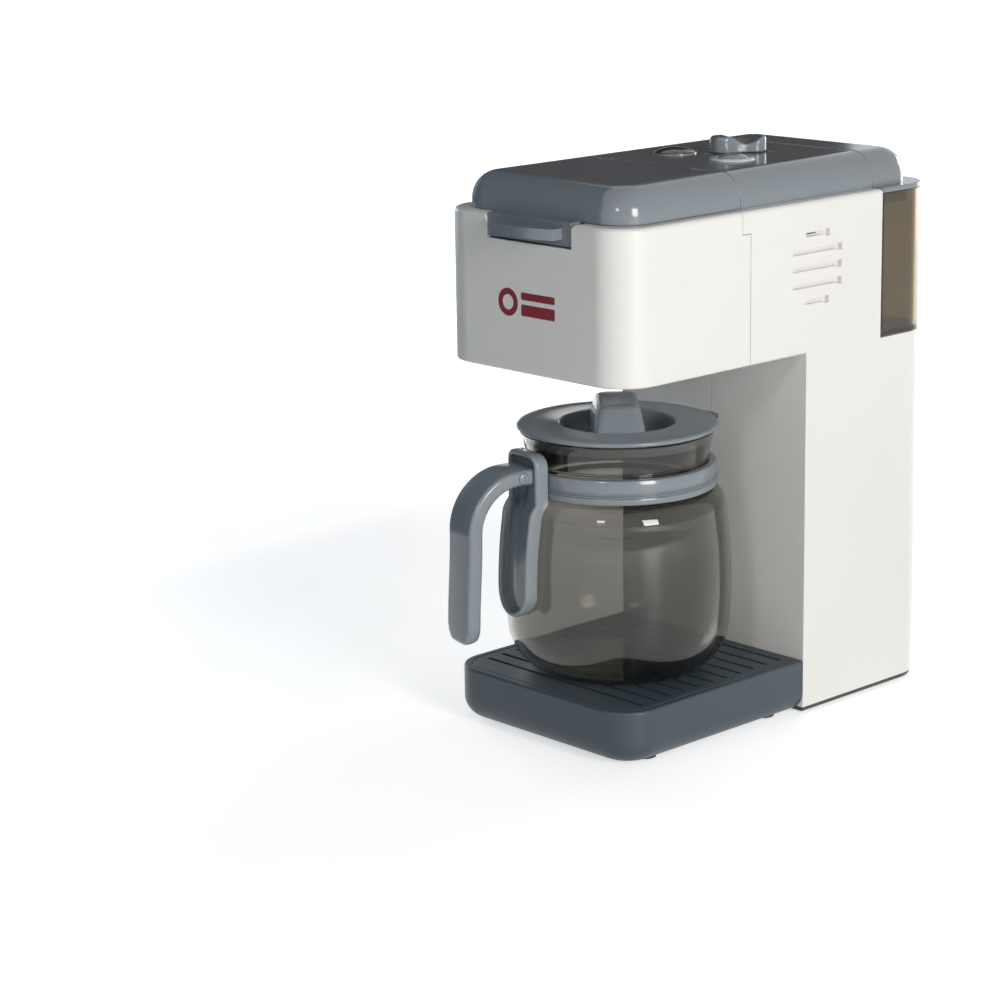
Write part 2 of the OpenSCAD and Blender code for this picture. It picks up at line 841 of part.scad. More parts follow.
module coffee_bed() {
    inset = tub_in + tub_wall + fit;
    color("#5a3a22") translate([0, 0, shell_z - tub_h + tub_wall])
        block(half_w - inset, front_y + inset, tub_rear - tub_wall - fit,
              tub_r - tub_wall - fit, tub_h - 3, 2.5, 2);
}

// ---------------------------------------------------------------- controls

module button_body(r, dome_edge, stem_r) {
    retainer = 1.2;
    translate([0, 0, cover_z]) dome(r, dome_h, dome_edge);
    translate([0, 0, skin_z - rest_gap - retainer]) cylinder(r = r + 1.2, h = retainer);
    translate([0, 0, skin_z - rest_gap - fit]) cylinder(r = r, h = cover_wall + rest_gap + 2 * fit);
    translate([0, 0, plunger_z]) cylinder(r = stem_r, h = skin_z - plunger_z - rest_gap);
}

module brew_button() {
    color(dark_abs) translate([-button_x, button_y, 0]) button_body(brew_r, 0.7, 2.4);
}

module light_button() {
    color(grey_abs) translate([button_x, button_y, 0]) {
        translate([0, 0, cover_z]) dome(light_r, dome_h, 1);
        translate([0, 0, ring_low - rest_gap - 1.2]) cylinder(r = light_r + 0.7, h = 1.2);
        translate([0, 0, ring_low - rest_gap - fit])
            cylinder(r = light_r, h = cover_z - ring_low + rest_gap + 2 * fit);
        translate([0, 0, plunger_z])
            cylinder(r = 2.4, h = ring_low - plunger_z - rest_gap - fit);
    }
}

// Clear ring round the light button: a flat collar on a short sleeve
module lamp_ring() {
    color([0.86, 0.88, 0.9, 0.7]) translate([button_x, button_y, 0]) rotate_extrude() polygon([
        [light_r + rest_gap, ring_low], [sleeve_r, ring_low], [sleeve_r, cover_z],
        [ring_r, cover_z], [ring_r, cover_z + 0.5], [ring_r - 0.5, cover_z + 0.9],
        [light_r + rest_gap, cover_z + 0.9]
    ]);
}

// Plunger of a push switch, carried down by its button
module plunger(x) {
    color("#1d1f21") translate([x, button_y, plunger_z - plunger_h])
        cylinder(r = plunger_r, h = plunger_h);
}

module brew_plunger() { plunger(-button_x); }

module light_plunger() { plunger(button_x); }

module button_switches() {
    side = 6;
    color("#2a2c2f") for (x = [-button_x, button_x])
        translate([x, button_y, board_top]) difference() {
            translate([-side / 2, -side / 2, 0]) cube([side, side, switch_h]);
            translate([0, 0, 0.4]) cylinder(r = plunger_r + 0.05, h = switch_h);
        }
}

module selector_knob() {
    end_r = knob_w / 2;
    waist = 1;
    waist_half = knob_l / 2 - end_r + 3;
    waist_r = (waist_half * waist_half + waist * waist) / (2 * waist);
    dip_half = knob_l / 2 - 2.4;
    dip_r = (dip_half * dip_half + saddle * saddle) / (2 * saddle);
    color(grey_abs) translate([knob_x, knob_y, cover_z + knob_gap])
            rotate([0, 0, -knob_turn]) difference() {
        linear_extrude(knob_h) difference() {
            union() {
                square([knob_w, knob_l - knob_w], center = true);
                for (end = [-1, 1]) translate([0, end * (knob_l / 2 - end_r)]) circle(end_r);
            }
            for (side = [-1, 1])
                translate([side * (knob_w / 2 + waist_r - waist), 0]) circle(waist_r, $fn = 128);
        }
        cross_bar(0, knob_h + dip_r - saddle, dip_r, knob_w + 4, $fn = 128);
        translate([0, 0, -over]) cylinder(r = shaft_r + 0.02, h = over + 3);
    }
}

module knob_shaft() {
    color(dark_abs) translate([knob_x, knob_y, board_top + 1])
        cylinder(r = shaft_r, h = cover_z + knob_gap + 3 - board_top - 1);
}

module knob_switch() {
    color("#2a2c2f") translate([knob_x, knob_y, board_top]) difference() {
        translate([-6, -6, 0]) cube([12, 12, 5]);
        translate([0, 0, 0.6]) cylinder(r = shaft_r + 0.05, h = 6);
    }
}

module circuit_board() {
    color("#2f6b45") difference() {
        translate([-board_w / 2, board_y0, board_z]) cube([board_w, board_y1 - board_y0, board_t]);
        for (place = board_bosses())
            translate([place[0], place[1], board_z - over]) cylinder(r = screw_r, h = board_t + 2);
    }
}

module led_lamp() {
    lamp_x = button_x - 4.6;
    color([0.95, 0.96, 0.98]) translate([lamp_x, button_y, board_top]) {
        cylinder(r = 1.1, h = 2.6);
        translate([0, 0, 2.6]) sphere(1.1);
    }
}

module board_screws() {
    color(steel) for (place = board_bosses())
        translate([place[0], place[1], 0]) {
            translate([0, 0, board_z - 1.6]) cylinder(r = 2.4, h = 1.6);
            translate([0, 0, board_z - fit]) cylinder(r = 0.78, h = board_t + 5);
        }
}

// ---------------------------------------------------------------- tray and foot

module base_tray() {
    floor_t = 2.4;
    side_t = rim_w + ledge_w;
    tray_low = plate_z;
    h = tray_h - tray_low;
    front = front_y + 0.6;
    plan_r = corner_r - 0.4;
    seat_z = tray_h - grille_t;
    color(grey_abs) difference() {
        union() {
            difference() {
                translate([0, 0, tray_low])
                    block(half_w, front, column_y, plan_r, h, 1, tray_low_r);
                translate([0, 0, tray_low + floor_t])
                    block(half_w - side_t, front + side_t, column_y - side_t, plan_r - side_t,
                          h, 0, max(1, tray_low_r - side_t));
            }
            translate([-tongue_w / 2, column_y - fit, housing_z + rest_gap])
                cube([tongue_w, 5, tongue_t]);
        }
        // Rebate for the plate, which leaves a ledge under its edge
        translate([0, 0, seat_z])
            block(half_w - rim_w, front + rim_w, column_y - rest_gap, plan_r - rim_w, h);
        foot_recesses();
    }
}

module drip_grille() {
    play = 0.35;
    front = front_y + 0.6 + rim_w + play;
    rear = column_y - rest_gap - play;
    count = floor((rear - 4 - front_y - first_slot) / slot_pitch);
    color(grey_abs) difference() {
        translate([0, 0, tray_h - grille_t])
            block(half_w - rim_w - play, front, rear, corner_r - 0.4 - rim_w - play, grille_t, 0.5);
        for (i = [0 : count])
            translate([0, front_y + first_slot + i * slot_pitch, tray_h - grille_t - over])
                linear_extrude(grille_t + 2 * over) {
                    square([slot_l - slot_w, slot_w], center = true);
                    for (side = [-1, 1])
                        translate([side * (slot_l - slot_w) / 2, 0]) circle(slot_w / 2);
                }
    }
}

// Shallow recesses for the feet under the tray and the column
module foot_recesses() {
    for (place = feet)
        translate([place[0], place[1], plate_z - over])
            cylinder(r = foot_r + 0.05, h = over + foot_sink);
}

module rubber_feet() {
    color("#303234") for (place = feet)
        translate([place[0], place[1], 0]) cylinder(r = foot_r, h = foot_h + foot_sink);
}

module bottom_plate() {
    inset = 0.6;
    rim = wall + rest_gap;
    color(dark_abs) difference() {
        union() {
            translate([0, 0, plate_z])
                rear_block(half_w - inset, column_y + inset, rear_y - inset, corner_r - inset,
                           plate_t, 0, 0.5);
            // Rim that locates the plate in the housing
            difference() {
                translate([0, 0, plate_z])
                    rear_block(half_w - rim, column_y + rim + tongue_t + 10, rear_y - rim,
                               corner_r - rim, plate_t + 2.5);
                translate([0, 0, plate_z - over])
                    rear_block(half_w - rim - 1.4, column_y + rim - over, rear_y - rim - 1.4,
                               corner_r - rim - 1.4, plate_t + 6);
            }
            // Walls and roof round the batteries
            translate([box_x - box_w / 2 - 1.5, box_y - box_l / 2 - 1.5, plate_z])
                cube([box_w + 3, box_l + 3, plate_t + box_h + 1.8]);
            // Boss for the door's screw
            translate([box_x, box_y + box_l / 2 + 5, plate_z]) cylinder(r = 3.4, h = 10);
            // Ring that holds the speaker
            translate([speaker_x, speaker_y, plate_z]) cylinder(r = speaker_r + 1.6, h = plate_t + 3);
        }
        translate([box_x - box_w / 2, box_y - box_l / 2, plate_z + plate_t])
            cube([box_w, box_l, box_h]);
        translate([box_x - door_w / 2, box_y - door_l / 2, plate_z - over])
            cube([door_w, door_l, plate_t + 2 * over]);
        translate([box_x - 7, box_y + door_l / 2 - over, plate_z - over])
            cube([14, 11, over + 1.1]);
        translate([box_x, box_y + box_l / 2 + 5, plate_z - over]) cylinder(r = screw_r, h = 9);
        translate([speaker_x, speaker_y, plate_z + plate_t]) cylinder(r = speaker_r + fit, h = 9);
        // Round pattern of sound holes
        for (ring = [0 : 2], k = [0 : max(0, ring * 6 - 1)])
            translate([speaker_x + 4 * ring * cos(60 * k / max(1, ring)),
                       speaker_y + 4 * ring * sin(60 * k / max(1, ring)), plate_z - over])
                cylinder(r = 1, h = plate_t + 2 * over);
        foot_recesses();
    }
}

module battery_door() {
    color(dark_abs) difference() {
        union() {
            translate([box_x - door_w / 2 + rest_gap, box_y - door_l / 2 + rest_gap, plate_z])
                cube([door_w - 2 * rest_gap, door_l - 2 * rest_gap, plate_t]);
            translate([box_x - 7 + rest_gap, box_y + door_l / 2 - over, plate_z])
                cube([14 - 2 * rest_gap, 11 - rest_gap, 1]);
            // Two stiffening ribs
            for (x = [-6, 6])
                translate([box_x + x - 0.6, box_y - door_l / 2 + 6, plate_z])
                    cube([1.2, door_l - 12, plate_t + 0.7]);
        }
        translate([box_x, box_y + box_l / 2 + 5, plate_z - over]) cylinder(r = 1.7, h = 4);
    }
}

module door_screw() {
    color(steel) translate([box_x, box_y + box_l / 2 + 5, plate_z]) {
        translate([0, 0, -0.8]) cylinder(r = 2.6, h = 0.8);
        translate([0, 0, -0.1]) cylinder(r = screw_r - 0.02, h = 8);
    }
}

module batteries() {
    low = plate_z + plate_t + 0.9;
    color("#4d6f8c") for (i = [0 : cells - 1]) {
        x = box_x + (i - (cells - 1) / 2) * cell_pitch;
        dir = i % 2 == 0 ? 1 : -1;
        translate([x, box_y - dir * cell_l / 2, low + cell_r]) rotate([-90 * dir, 0, 0]) {
            cylinder(r = cell_r, h = cell_l - 1.2);
            cylinder(r = 2.7, h = cell_l);
        }
    }
}

// Sprung plates at both ends of each battery
module battery_contacts() {
    leaf = 9;
    leaf_t = 0.5;
    low = plate_z + plate_t + 0.9;
    space = (box_l - cell_l) / 2;
    color(steel) for (i = [0 : cells - 1], end = [-1, 1]) {
        x = box_x + (i - (cells - 1) / 2) * cell_pitch;
        y = box_y + end * (box_l / 2 - leaf_t / 2 - 0.05);
        translate([x, y, low + cell_r]) {
            cube([leaf, leaf_t, leaf], center = true);
            rotate([end * 90, 0, 0]) cylinder(r = 3, h = space - 0.4);
        }
    }
}

module speaker() {
    color(dark_abs) translate([speaker_x, speaker_y, plate_z + plate_t]) rotate_extrude() polygon([
        [0, 2.2], [6, 2.2], [speaker_r - 2, 0.5], [speaker_r - 2, 0], [speaker_r, 0],
        [speaker_r, 2], [8, 5], [8, 9], [0, 9]
    ]);
}

// Screws through the left half into the right half
module housing_screws() {
    color(steel) for (place = case_bosses) {
        cross_bar(place[0], place[1], 2.8, 2, screw_seat_x - 1);
        cross_bar(place[0], place[1], screw_r, screw_l, screw_seat_x + screw_l / 2 - fit);
    }
}

// ---------------------------------------------------------------- jug

// Radius of the jug at a height above its foot, for a surface that lies deep under the outside.
// A negative depth gives a surface outside it.
function jug_radius(h, deep) =
    let (shoulder_r = jug_r - belly_taper,
         foot_turn = min(1, max(0, (foot_rise - h) / (foot_rise - deep))),
         shoulder_turn = min(1, max(0, (h - belly_h) / (shoulder_h - deep))),
         neck_part = max(0, (h - belly_h - shoulder_h) / neck_h))
    h < foot_rise
        ? jug_r - foot_taper - foot_in + (foot_in - deep) * sqrt(1 - pow(foot_turn, 2))
    : h < belly_h
        ? jug_r - deep - belly_taper * pow((h - belly_mid) / (belly_h - belly_mid), 2)
    : h < belly_h + shoulder_h
        ? neck_r - deep + (shoulder_r - neck_r) * sqrt(1 - pow(shoulder_turn, 2))
    : neck_r - deep + neck_flare * pow(neck_part, 2);

// Points of that surface: close together on the foot and the shoulder, which turn fast
function jug_line(deep) = [
    for (h = concat(
        [for (a = [0 : 15 : 90]) foot_rise - (foot_rise - deep) * cos(a)],
        [for (k = [1 : 5]) foot_rise + (belly_h - foot_rise) * k / 6],
        [for (a = [0 : 15 : 90]) belly_h + (shoulder_h - deep) * sin(a)],
        [for (k = [1 : 4]) belly_h + shoulder_h + neck_h * k / 4]
    )) [jug_radius(h, deep), h]
];

module jug_body(deep) {
    line = jug_line(deep);
    rotate_extrude($fn = 96) polygon(concat([[0, line[0][1]]], line, [[0, rim_z]]));
}

// Pouring beak at the rim, opposite the handle
module spout_form(out) {
    half_angle_w = 15;
    tip = 49;
    intersection() {
        linear_extrude(rim_z) polygon([
            [neck_r - 8, -half_angle_w - out], [tip + out * 1.4, 0], [neck_r - 8, half_angle_w + out]
        ]);
        rotate([90, 0, 0]) linear_extrude(80, center = true) polygon([
            [0, rim_z - 12.6 - out], [neck_r, rim_z - 12.6 - out], [tip + out * 1.6, rim_z - 2],
            [tip + out * 1.6, rim_z], [0, rim_z]
        ]);
    }
}

// Places a form made for the handle's direction, or for the spout with turn = 180
module at_jug(turn = 0) {
    translate([0, jug_y, jug_z]) rotate([0, 0, -90 - handle_turn + turn]) children();
}

module carafe_jug() {
    color(smoke) at_jug(180) difference() {
        union() {
            jug_body(0);
            spout_form(0);
        }
        jug_body(jug_wall);
        spout_form(-jug_wall);
    }
}

module carafe_band() {
    r = neck_r + 0.15;
    out = neck_r + band_t + 0.6;
    color(grey_abs) at_jug() rotate_extrude($fn = 96) polygon([
        [r + 0.25, band_z + 2], [out - 1, band_z], [out + 0.5, band_z + 0.4],
        [out + 0.5, band_z + 1.4], [out - 0.3, band_z + 1.7], [out, band_z + 2.2],
        [out, band_z + band_h], [out - 0.4, band_z + band_h + 0.4],
        [r + 0.6, band_z + band_h + 0.4]
    ]);
}

// Face of the strap seen from outside: straight sides and a round lower end
module strap_face(w, low, high) {
    translate([-w / 2, low + w / 2]) square([w, high - low - w / 2]);
    translate([0, low + w / 2]) circle(w / 2);
}

// Stands a face drawn in the plane upright, facing outwards, and gives it depth
module facing_out(depth) {
    rotate([90, 0, 90]) linear_extrude(depth) children();
}

// Outline of the strap's inner face, past the band
function strap_line(out) = concat(
    [for (p = jug_line(-rest_gap - out)) if (p[1] > 9 && p[1] < belly_h + 7) p],
    [[strap_out + out, band_z - 1], [strap_out + out, rim_z - 4]]);

module strap_turned(out) {
    line = strap_line(out);
    rotate_extrude($fn = 96) polygon(concat([[0, line[0][1]]], line, [[0, line[len(line) - 1][1]]]));
}

module carafe_strap() {
    low = strap_low;
    high = rim_z - 4.4;
    rim_t = 2;
    color(grey_abs) at_jug() difference() {
        union() {
            intersection() {
                strap_turned(2);
                facing_out(80) strap_face(strap_w, low, high);
            }
            intersection() {
                strap_turned(strap_t);
                facing_out(80) difference() {
                    strap_face(strap_w, low, high);
                    strap_face(strap_w - 2 * rim_t, low + rim_t, high + over);
                }
            }
            tongue(0);
        }
        translate([0, 0, -over]) strap_turned(0);
        strap_turned(0);
        translate([0, 0, over]) strap_turned(0);
        cross_pin(pin_hole_r);
    }
}

// Pin across the handle's arm and the strap's rims
module cross_pin(r) {
    translate([strap_out + 9, 20, arm_h]) rotate([90, 0, 0]) cylinder(r = r, h = 40);
}

// Tongue of the strap in the hollow end of the handle's arm
module tongue(play) {
    translate([strap_out, -5 - play, arm_h - 1.7 - play])
        cube([12.5 + play, 10 + 2 * play, 3.4 + 2 * play]);
}

module carafe_handle() {
    outer = handle_reach;
    inner = outer - handle_t;
    start = strap_out + 2 + fit;
    bend = 24;
    top = arm_h + handle_t / 2;
    color(grey_abs) at_jug() difference() {
        intersection() {
            union() {
                translate([start, -handle_w / 2, top - handle_t])
                    cube([outer - bend - start, handle_w, handle_t]);
                translate([outer - bend, 0, top - bend]) rotate([90, 0, 0])
                    rotate_extrude(angle = 90)
                        translate([bend - handle_t, -handle_w / 2]) square([handle_t, handle_w]);
                rotate([90, 0, 0]) linear_extrude(handle_w, center = true) polygon([
                    [inner, top - bend], [outer, top - bend], [outer + 1.6, handle_low + 8],
                    [outer + 1.2, handle_low], [inner + 1.2, handle_low]
                ]);
            }
            facing_out(90) union() {
                translate([-handle_w / 2, handle_low + handle_w / 2])
                    square([handle_w, 120]);
                translate([0, handle_low + handle_w / 2]) circle(handle_w / 2);
            }
        }
        tongue(0.1);
        cross_pin(pin_hole_r);
    }
}

module handle_pin() {
    head_t = 0.8;
    reach = handle_w / 2 + head_t;
    color(grey_abs) at_jug() translate([strap_out + 9, 0, arm_h]) rotate([90, 0, 0]) {
        cylinder(r = pin_hole_r - 0.02, h = handle_w + 0.1, center = true);
        for (side = [-1, 1])
            translate([0, 0, side * (reach - head_t / 2)])
                cylinder(r = 2.2, h = head_t, center = true);
    }
}

module carafe_lid() {
    disc_z = rim_z + rest_gap;
    top = disc_z + jug_lid_t;
    disc_r = neck_r + neck_flare + jug_lid_over;
    plug_r = neck_r + neck_flare - jug_wall - 1.4;
    lid_wall = 1.6;
    floor_z = top - well_d;
    color(grey_abs) at_jug(180) {
        rotate_extrude($fn = 96) difference() {
            union() {
                half_lid(disc_z, disc_r);
                translate([plug_r - lid_wall, disc_z - 5]) square([lid_wall, 5 + fit]);
                translate([0, floor_z - lid_wall])
                    square([well_r + lid_wall, well_d + lid_wall - fit]);
            }
            translate([0, floor_z]) square([well_r, well_d + over]);
        }
        lid_grip(floor_z, top);
    }
}

// Disc of the lid in section, with chamfered outer edges
module half_lid(z, r) {
    c = 0.6;
    polygon([
        [0, z], [r - c, z], [r, z + c], [r, z + jug_lid_t - c], [r - c, z + jug_lid_t],
        [0, z + jug_lid_t]
    ]);
}

// Grip across the well: both its ends and its sides lean inwards
module lid_grip(low, top) {
    crest = top + grip_h;
    crest_r = 4;
    foot_half = well_r + 1;
    crest_half = well_r - 9;
    rotate([0, 0, grip_turn + handle_turn - 90]) intersection() {
        // Seen from the side
        rotate([90, 0, 90]) linear_extrude(80, center = true) {
            polygon([
                [-foot_half, low - 0.5], [foot_half, low - 0.5], [foot_half, top - 0.5],
                [crest_half, crest - crest_r], [crest_half - crest_r, crest],
                [crest_r - crest_half, crest], [-crest_half, crest - crest_r],
                [-foot_half, top - 0.5]
            ]);
            for (side = [-1, 1])
                translate([side * (crest_half - crest_r), crest - crest_r]) circle(crest_r);
        }
        // Seen from the end
        rotate([90, 0, 0]) linear_extrude(80, center = true) {
            taper = 2.2;
            peak = crest + fit;
            polygon([
                [-grip_w / 2, low - 0.6], [grip_w / 2, low - 0.6], [grip_w / 2, top],
                [grip_w / 2 - taper, peak - 2], [grip_w / 2 - taper - 2, peak],
                [taper + 2 - grip_w / 2, peak], [taper - grip_w / 2, peak - 2],
                [-grip_w / 2, top]
            ]);
            for (side = [-1, 1])
                translate([side * (grip_w / 2 - taper - 2), peak - 2]) circle(2);
        }
        // Round ends that stay clear of the well's edge
        rotate_extrude() polygon([
            [0, low - over], [well_r + 0.8, low - over], [well_r + 0.8, top - 1.6],
            [well_r - 0.8, top], [well_r - 0.8, crest + over], [0, crest + over]
        ]);
    }
}

// ---------------------------------------------------------------- the pieces

front_shell();
housing_left();
housing_right();
control_panel();
front_lid();
tank_lid();
front_lid_pins();
tank_lid_pins();
water_tank();
hopper_tray();
coffee_bed();
outlet_nozzle();
pump_motor();
inlet_tube();
outlet_tube();
brew_button();
brew_plunger();
light_button();
light_plunger();
lamp_ring();
selector_knob();
knob_shaft();
circuit_board();
button_switches();
knob_switch();
led_lamp();
board_screws();
base_tray();
drip_grille();
bottom_plate();
battery_door();
door_screw();
batteries();
battery_contacts();
speaker();
housing_screws();
rubber_feet();
carafe_jug();
carafe_band();
carafe_strap();
carafe_handle();
handle_pin();
carafe_lid();
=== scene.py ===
"""Toy coffee maker: its finishes, its moulded pieces, the studio and the camera.

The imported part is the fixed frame. Pieces whose form runs in soft curves (jug, band, strap,
handle, pin, jug lid, knob and light collar) are built here in their CAD node's place, and the
other nodes keep their own mesh and get a finish. Sizes are in millimetres and become metres when
a mesh is made.
"""

from __future__ import annotations

import json
import logging
import math
from dataclasses import dataclass
from enum import Enum
from typing import Any, Callable, Sequence

import bmesh
import bpy
from mathutils import Matrix, Vector

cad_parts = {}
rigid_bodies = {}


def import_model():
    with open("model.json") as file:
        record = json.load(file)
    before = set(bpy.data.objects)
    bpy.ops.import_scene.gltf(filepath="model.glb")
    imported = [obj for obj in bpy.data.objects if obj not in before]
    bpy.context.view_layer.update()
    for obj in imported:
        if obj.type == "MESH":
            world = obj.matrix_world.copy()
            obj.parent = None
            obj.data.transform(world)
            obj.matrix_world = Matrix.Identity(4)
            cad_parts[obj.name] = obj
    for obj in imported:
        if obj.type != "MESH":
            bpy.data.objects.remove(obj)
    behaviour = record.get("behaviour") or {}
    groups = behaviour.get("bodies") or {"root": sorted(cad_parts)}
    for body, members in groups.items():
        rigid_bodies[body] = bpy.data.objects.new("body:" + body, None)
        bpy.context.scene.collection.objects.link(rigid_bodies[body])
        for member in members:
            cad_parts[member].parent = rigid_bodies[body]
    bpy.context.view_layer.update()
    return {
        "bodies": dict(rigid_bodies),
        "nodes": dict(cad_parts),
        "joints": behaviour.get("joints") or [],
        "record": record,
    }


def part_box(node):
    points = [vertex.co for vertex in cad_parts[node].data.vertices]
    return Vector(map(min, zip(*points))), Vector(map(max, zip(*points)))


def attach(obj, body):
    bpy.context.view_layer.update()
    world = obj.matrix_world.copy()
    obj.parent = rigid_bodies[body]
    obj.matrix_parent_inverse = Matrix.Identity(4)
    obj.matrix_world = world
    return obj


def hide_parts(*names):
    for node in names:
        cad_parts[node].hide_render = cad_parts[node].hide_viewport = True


LOG = logging.getLogger("coffee_maker")
MM = 0.001
COLUMN_Y = 26.0
FRONT_Y = COLUMN_Y - 105.2
SEAM_Y = FRONT_Y + 71.0
JUG_Y = COLUMN_Y - 56.4
JUG_Z = 23.9
PANEL_Z = 230.8
KNOB_PLACE = (2.0, SEAM_Y + 48.0)
Point = tuple[float, float, float]
Line = list[tuple[float, float]]
Skin = tuple[list[Sequence[float]], list[list[int]]]
Tree = bpy.types.NodeTree
Socket = bpy.types.NodeSocket
Piece = bpy.types.Object
Material = bpy.types.Material


# ------------------------------------------------------------------ small helpers


def linear(hex_colour: str) -> tuple[float, float, float, float]:
    """Turns an sRGB hex colour into linear RGBA.

    Args:
        hex_colour: Six digits after a hash, such as "#8a9196".

    Returns:
        Red, green and blue in linear light, and an alpha of 1.
    """
    parts = [int(hex_colour[i : i + 2], 16) / 255 for i in (1, 3, 5)]
    out = [c / 12.92 if c <= 0.04045 else ((c + 0.055) / 1.055) ** 2.4 for c in parts]
    return (out[0], out[1], out[2], 1.0)


def add_node(
    tree: Tree,
    kind: str,
    settings: dict[str, Any] | None = None,
    inputs: dict[str | int, Any] | None = None,
) -> bpy.types.Node:
    """Adds one node with its settings, values and links.

    Args:
        tree: The node tree to add to.
        kind: Blender's identifier of the node's type.
        settings: Attributes of the node.
        inputs: Values or output sockets, by input name or number.

    Returns:
        The new node.
    """
    node = tree.nodes.new(kind)
    for key, value in (settings or {}).items():
        setattr(node, key, value)
    for key, value in (inputs or {}).items():
        socket = node.inputs[key]
        if isinstance(value, Socket):
            tree.links.new(value, socket)
        else:
            socket.default_value = value
    return node


def smoothstep(low: float, high: float, x: float) -> float:
    """Rises smoothly from 0 at low to 1 at high."""
    t = min(1.0, max(0.0, (x - low) / (high - low)))
    return t * t * (3 - 2 * t)


def arc(cx: float, cy: float, r: float, a0: float, a1: float, steps: int) -> Line:
    """Points on an arc about (cx, cy) from angle a0 to a1, in degrees, both ends included."""
    angles = [math.radians(a0 + (a1 - a0) * i / steps) for i in range(steps + 1)]
    return [(cx + r * math.cos(a), cy + r * math.sin(a)) for a in angles]


def rounded_rectangle(half_x: float, half_y: float, r: float, steps: int = 6) -> Line:
    """Outline of a rounded rectangle, anticlockwise.

    Args:
        half_x: Half its size along x.
        half_y: Half its size along y.
        r: Corner radius.
        steps: Steps in each corner.

    Returns:
        The points of the outline.
    """
    r = max(0.02, min(r, half_x - 0.01, half_y - 0.01))
    points: Line = []
    for sx, sy, start in ((1, 1, 0), (-1, 1, 90), (-1, -1, 180), (1, -1, 270)):
        points += arc(sx * (half_x - r), sy * (half_y - r), r, start, start + 90, steps)
    return points


def loft(rings: Sequence[Sequence[Sequence[float]]], loop: bool = False,
         caps: bool = True) -> Skin:
    """Joins rings of as many points each into a skin.

    Args:
        rings: The rings, in order.
        loop: True where the last ring joins the first.
        caps: True where the first and the last ring are closed by a face.

    Returns:
        Points and faces.
    """
    count = len(rings[0])
    points = [p for ring in rings for p in ring]
    faces: list[list[int]] = []
    last = len(rings) if loop else len(rings) - 1
    for i in range(last):
        a, b = i * count, (i + 1) % len(rings) * count
        for k in range(count):
            n = (k + 1) % count
            faces.append([a + k, a + n, b + n, b + k])
    if caps and not loop:
        faces.append(list(range(count))[::-1])
        faces.append([(len(rings) - 1) * count + k for k in range(count)])
    return points, faces


def make_mesh(name: str, skin: Skin, sharp: float = 38) -> Piece:
    """Makes a smooth-shaded mesh object at the origin.

    Args:
        name: Name of the piece.
        skin: Its points in millimetres and its faces.
        sharp: Angle in degrees past which an edge stays sharp.

    Returns:
        The object, linked to the scene.
    """
    mesh = bpy.data.meshes.new(name)
    mesh.from_pydata([[c * MM for c in p] for p in skin[0]], [], skin[1])
    shell = bmesh.new()
    shell.from_mesh(mesh)
    bmesh.ops.remove_doubles(shell, verts=shell.verts, dist=1e-7)
    bmesh.ops.dissolve_degenerate(shell, edges=shell.edges, dist=1e-7)
    bmesh.ops.recalc_face_normals(shell, faces=shell.faces)
    shell.to_mesh(mesh)
    shell.free()
    mesh.shade_smooth()
    mesh.set_sharp_from_angle(angle=math.radians(sharp))
    piece = bpy.data.objects.new(name, mesh)
    bpy.context.scene.collection.objects.link(piece)
    return piece


@dataclass(frozen=True)
class Axis:
    """An upright axis with a direction, about which round pieces are built."""

    x: float
    y: float
    z: float
    turn: float

    def place(self, along: float, across: float, up: float) -> Point:
        """Turns a point given along and across the direction into the part's own frame."""
        c, s = math.cos(math.radians(self.turn)), math.sin(math.radians(self.turn))
        return (self.x + along * c - across * s, self.y + along * s + across * c, self.z + up)

    def revolve(
        self,
        name: str,
        profile: Line,
        segments: int,
        closed: bool = True,
        push: Callable[[float, float, float], float] | None = None,
    ) -> Piece:
        """Revolves a profile of (radius, height) points.

        Args:
            name: Name of the piece.
            profile: The section's outline, from point to point.
            segments: Steps round the axis.
            closed: True where the last point joins the first.
            push: Gives what a point moves outwards, from its radius, height and angle.

        Returns:
            The object.
        """
        rings = []
        for r, h in profile:
            ring = []
            for k in range(segments):
                a = 2 * math.pi * k / segments
                deg = (math.degrees(a) + 180) % 360 - 180
                out = max(0.0, r) + (push(r, h, deg) if push and r > 1 else 0)
                ring.append(self.place(out * math.cos(a), out * math.sin(a), h))
            rings.append(ring)
        return make_mesh(name, loft(rings, loop=closed, caps=False))


# ------------------------------------------------------------------ finishes


def patches(tree: Tree, place: Socket, size_mm: float, detail: float,
            span: tuple[float, float], ends: tuple[float, float]) -> Socket:
    """Soft patches whose value runs between two ends.

    Args:
        tree: The material's tree.
        place: The place on the piece.
        size_mm: Width of a patch.
        detail: How many finer layers the patches carry.
        span: Noise values at which the patches reach their ends.
        ends: Values at the ends.

    Returns:
        The pattern.
    """
    noise = add_node(tree, "ShaderNodeTexNoise", None,
                     {"Vector": place, "Scale": 1 / (size_mm * MM), "Detail": detail})
    return add_node(tree, "ShaderNodeMapRange", None,
                    {"Value": noise.outputs["Fac"], "From Min": span[0], "From Max": span[1],
                     "To Min": ends[0], "To Max": ends[1]}).outputs["Result"]


def relief(tree: Tree, place: Socket, size_mm: float, detail: float, depth_mm: float,
           under: Socket | None = None) -> Socket:
    """Lumps of real size and depth on the surface.

    Args:
        tree: The material's tree.
        place: The place on the piece.
        size_mm: Width of a lump.
        detail: How many finer layers the lumps carry.
        depth_mm: Height of a lump.
        under: Another normal that the lumps lie on.

    Returns:
        The normal.
    """
    noise = add_node(tree, "ShaderNodeTexNoise", None,
                     {"Vector": place, "Scale": 1 / (size_mm * MM), "Detail": detail})
    inputs = {"Height": noise.outputs["Fac"], "Distance": depth_mm * MM, "Strength": 1.0}
    if under is not None:
        inputs["Normal"] = under
    return add_node(tree, "ShaderNodeBump", None, inputs).outputs["Normal"]


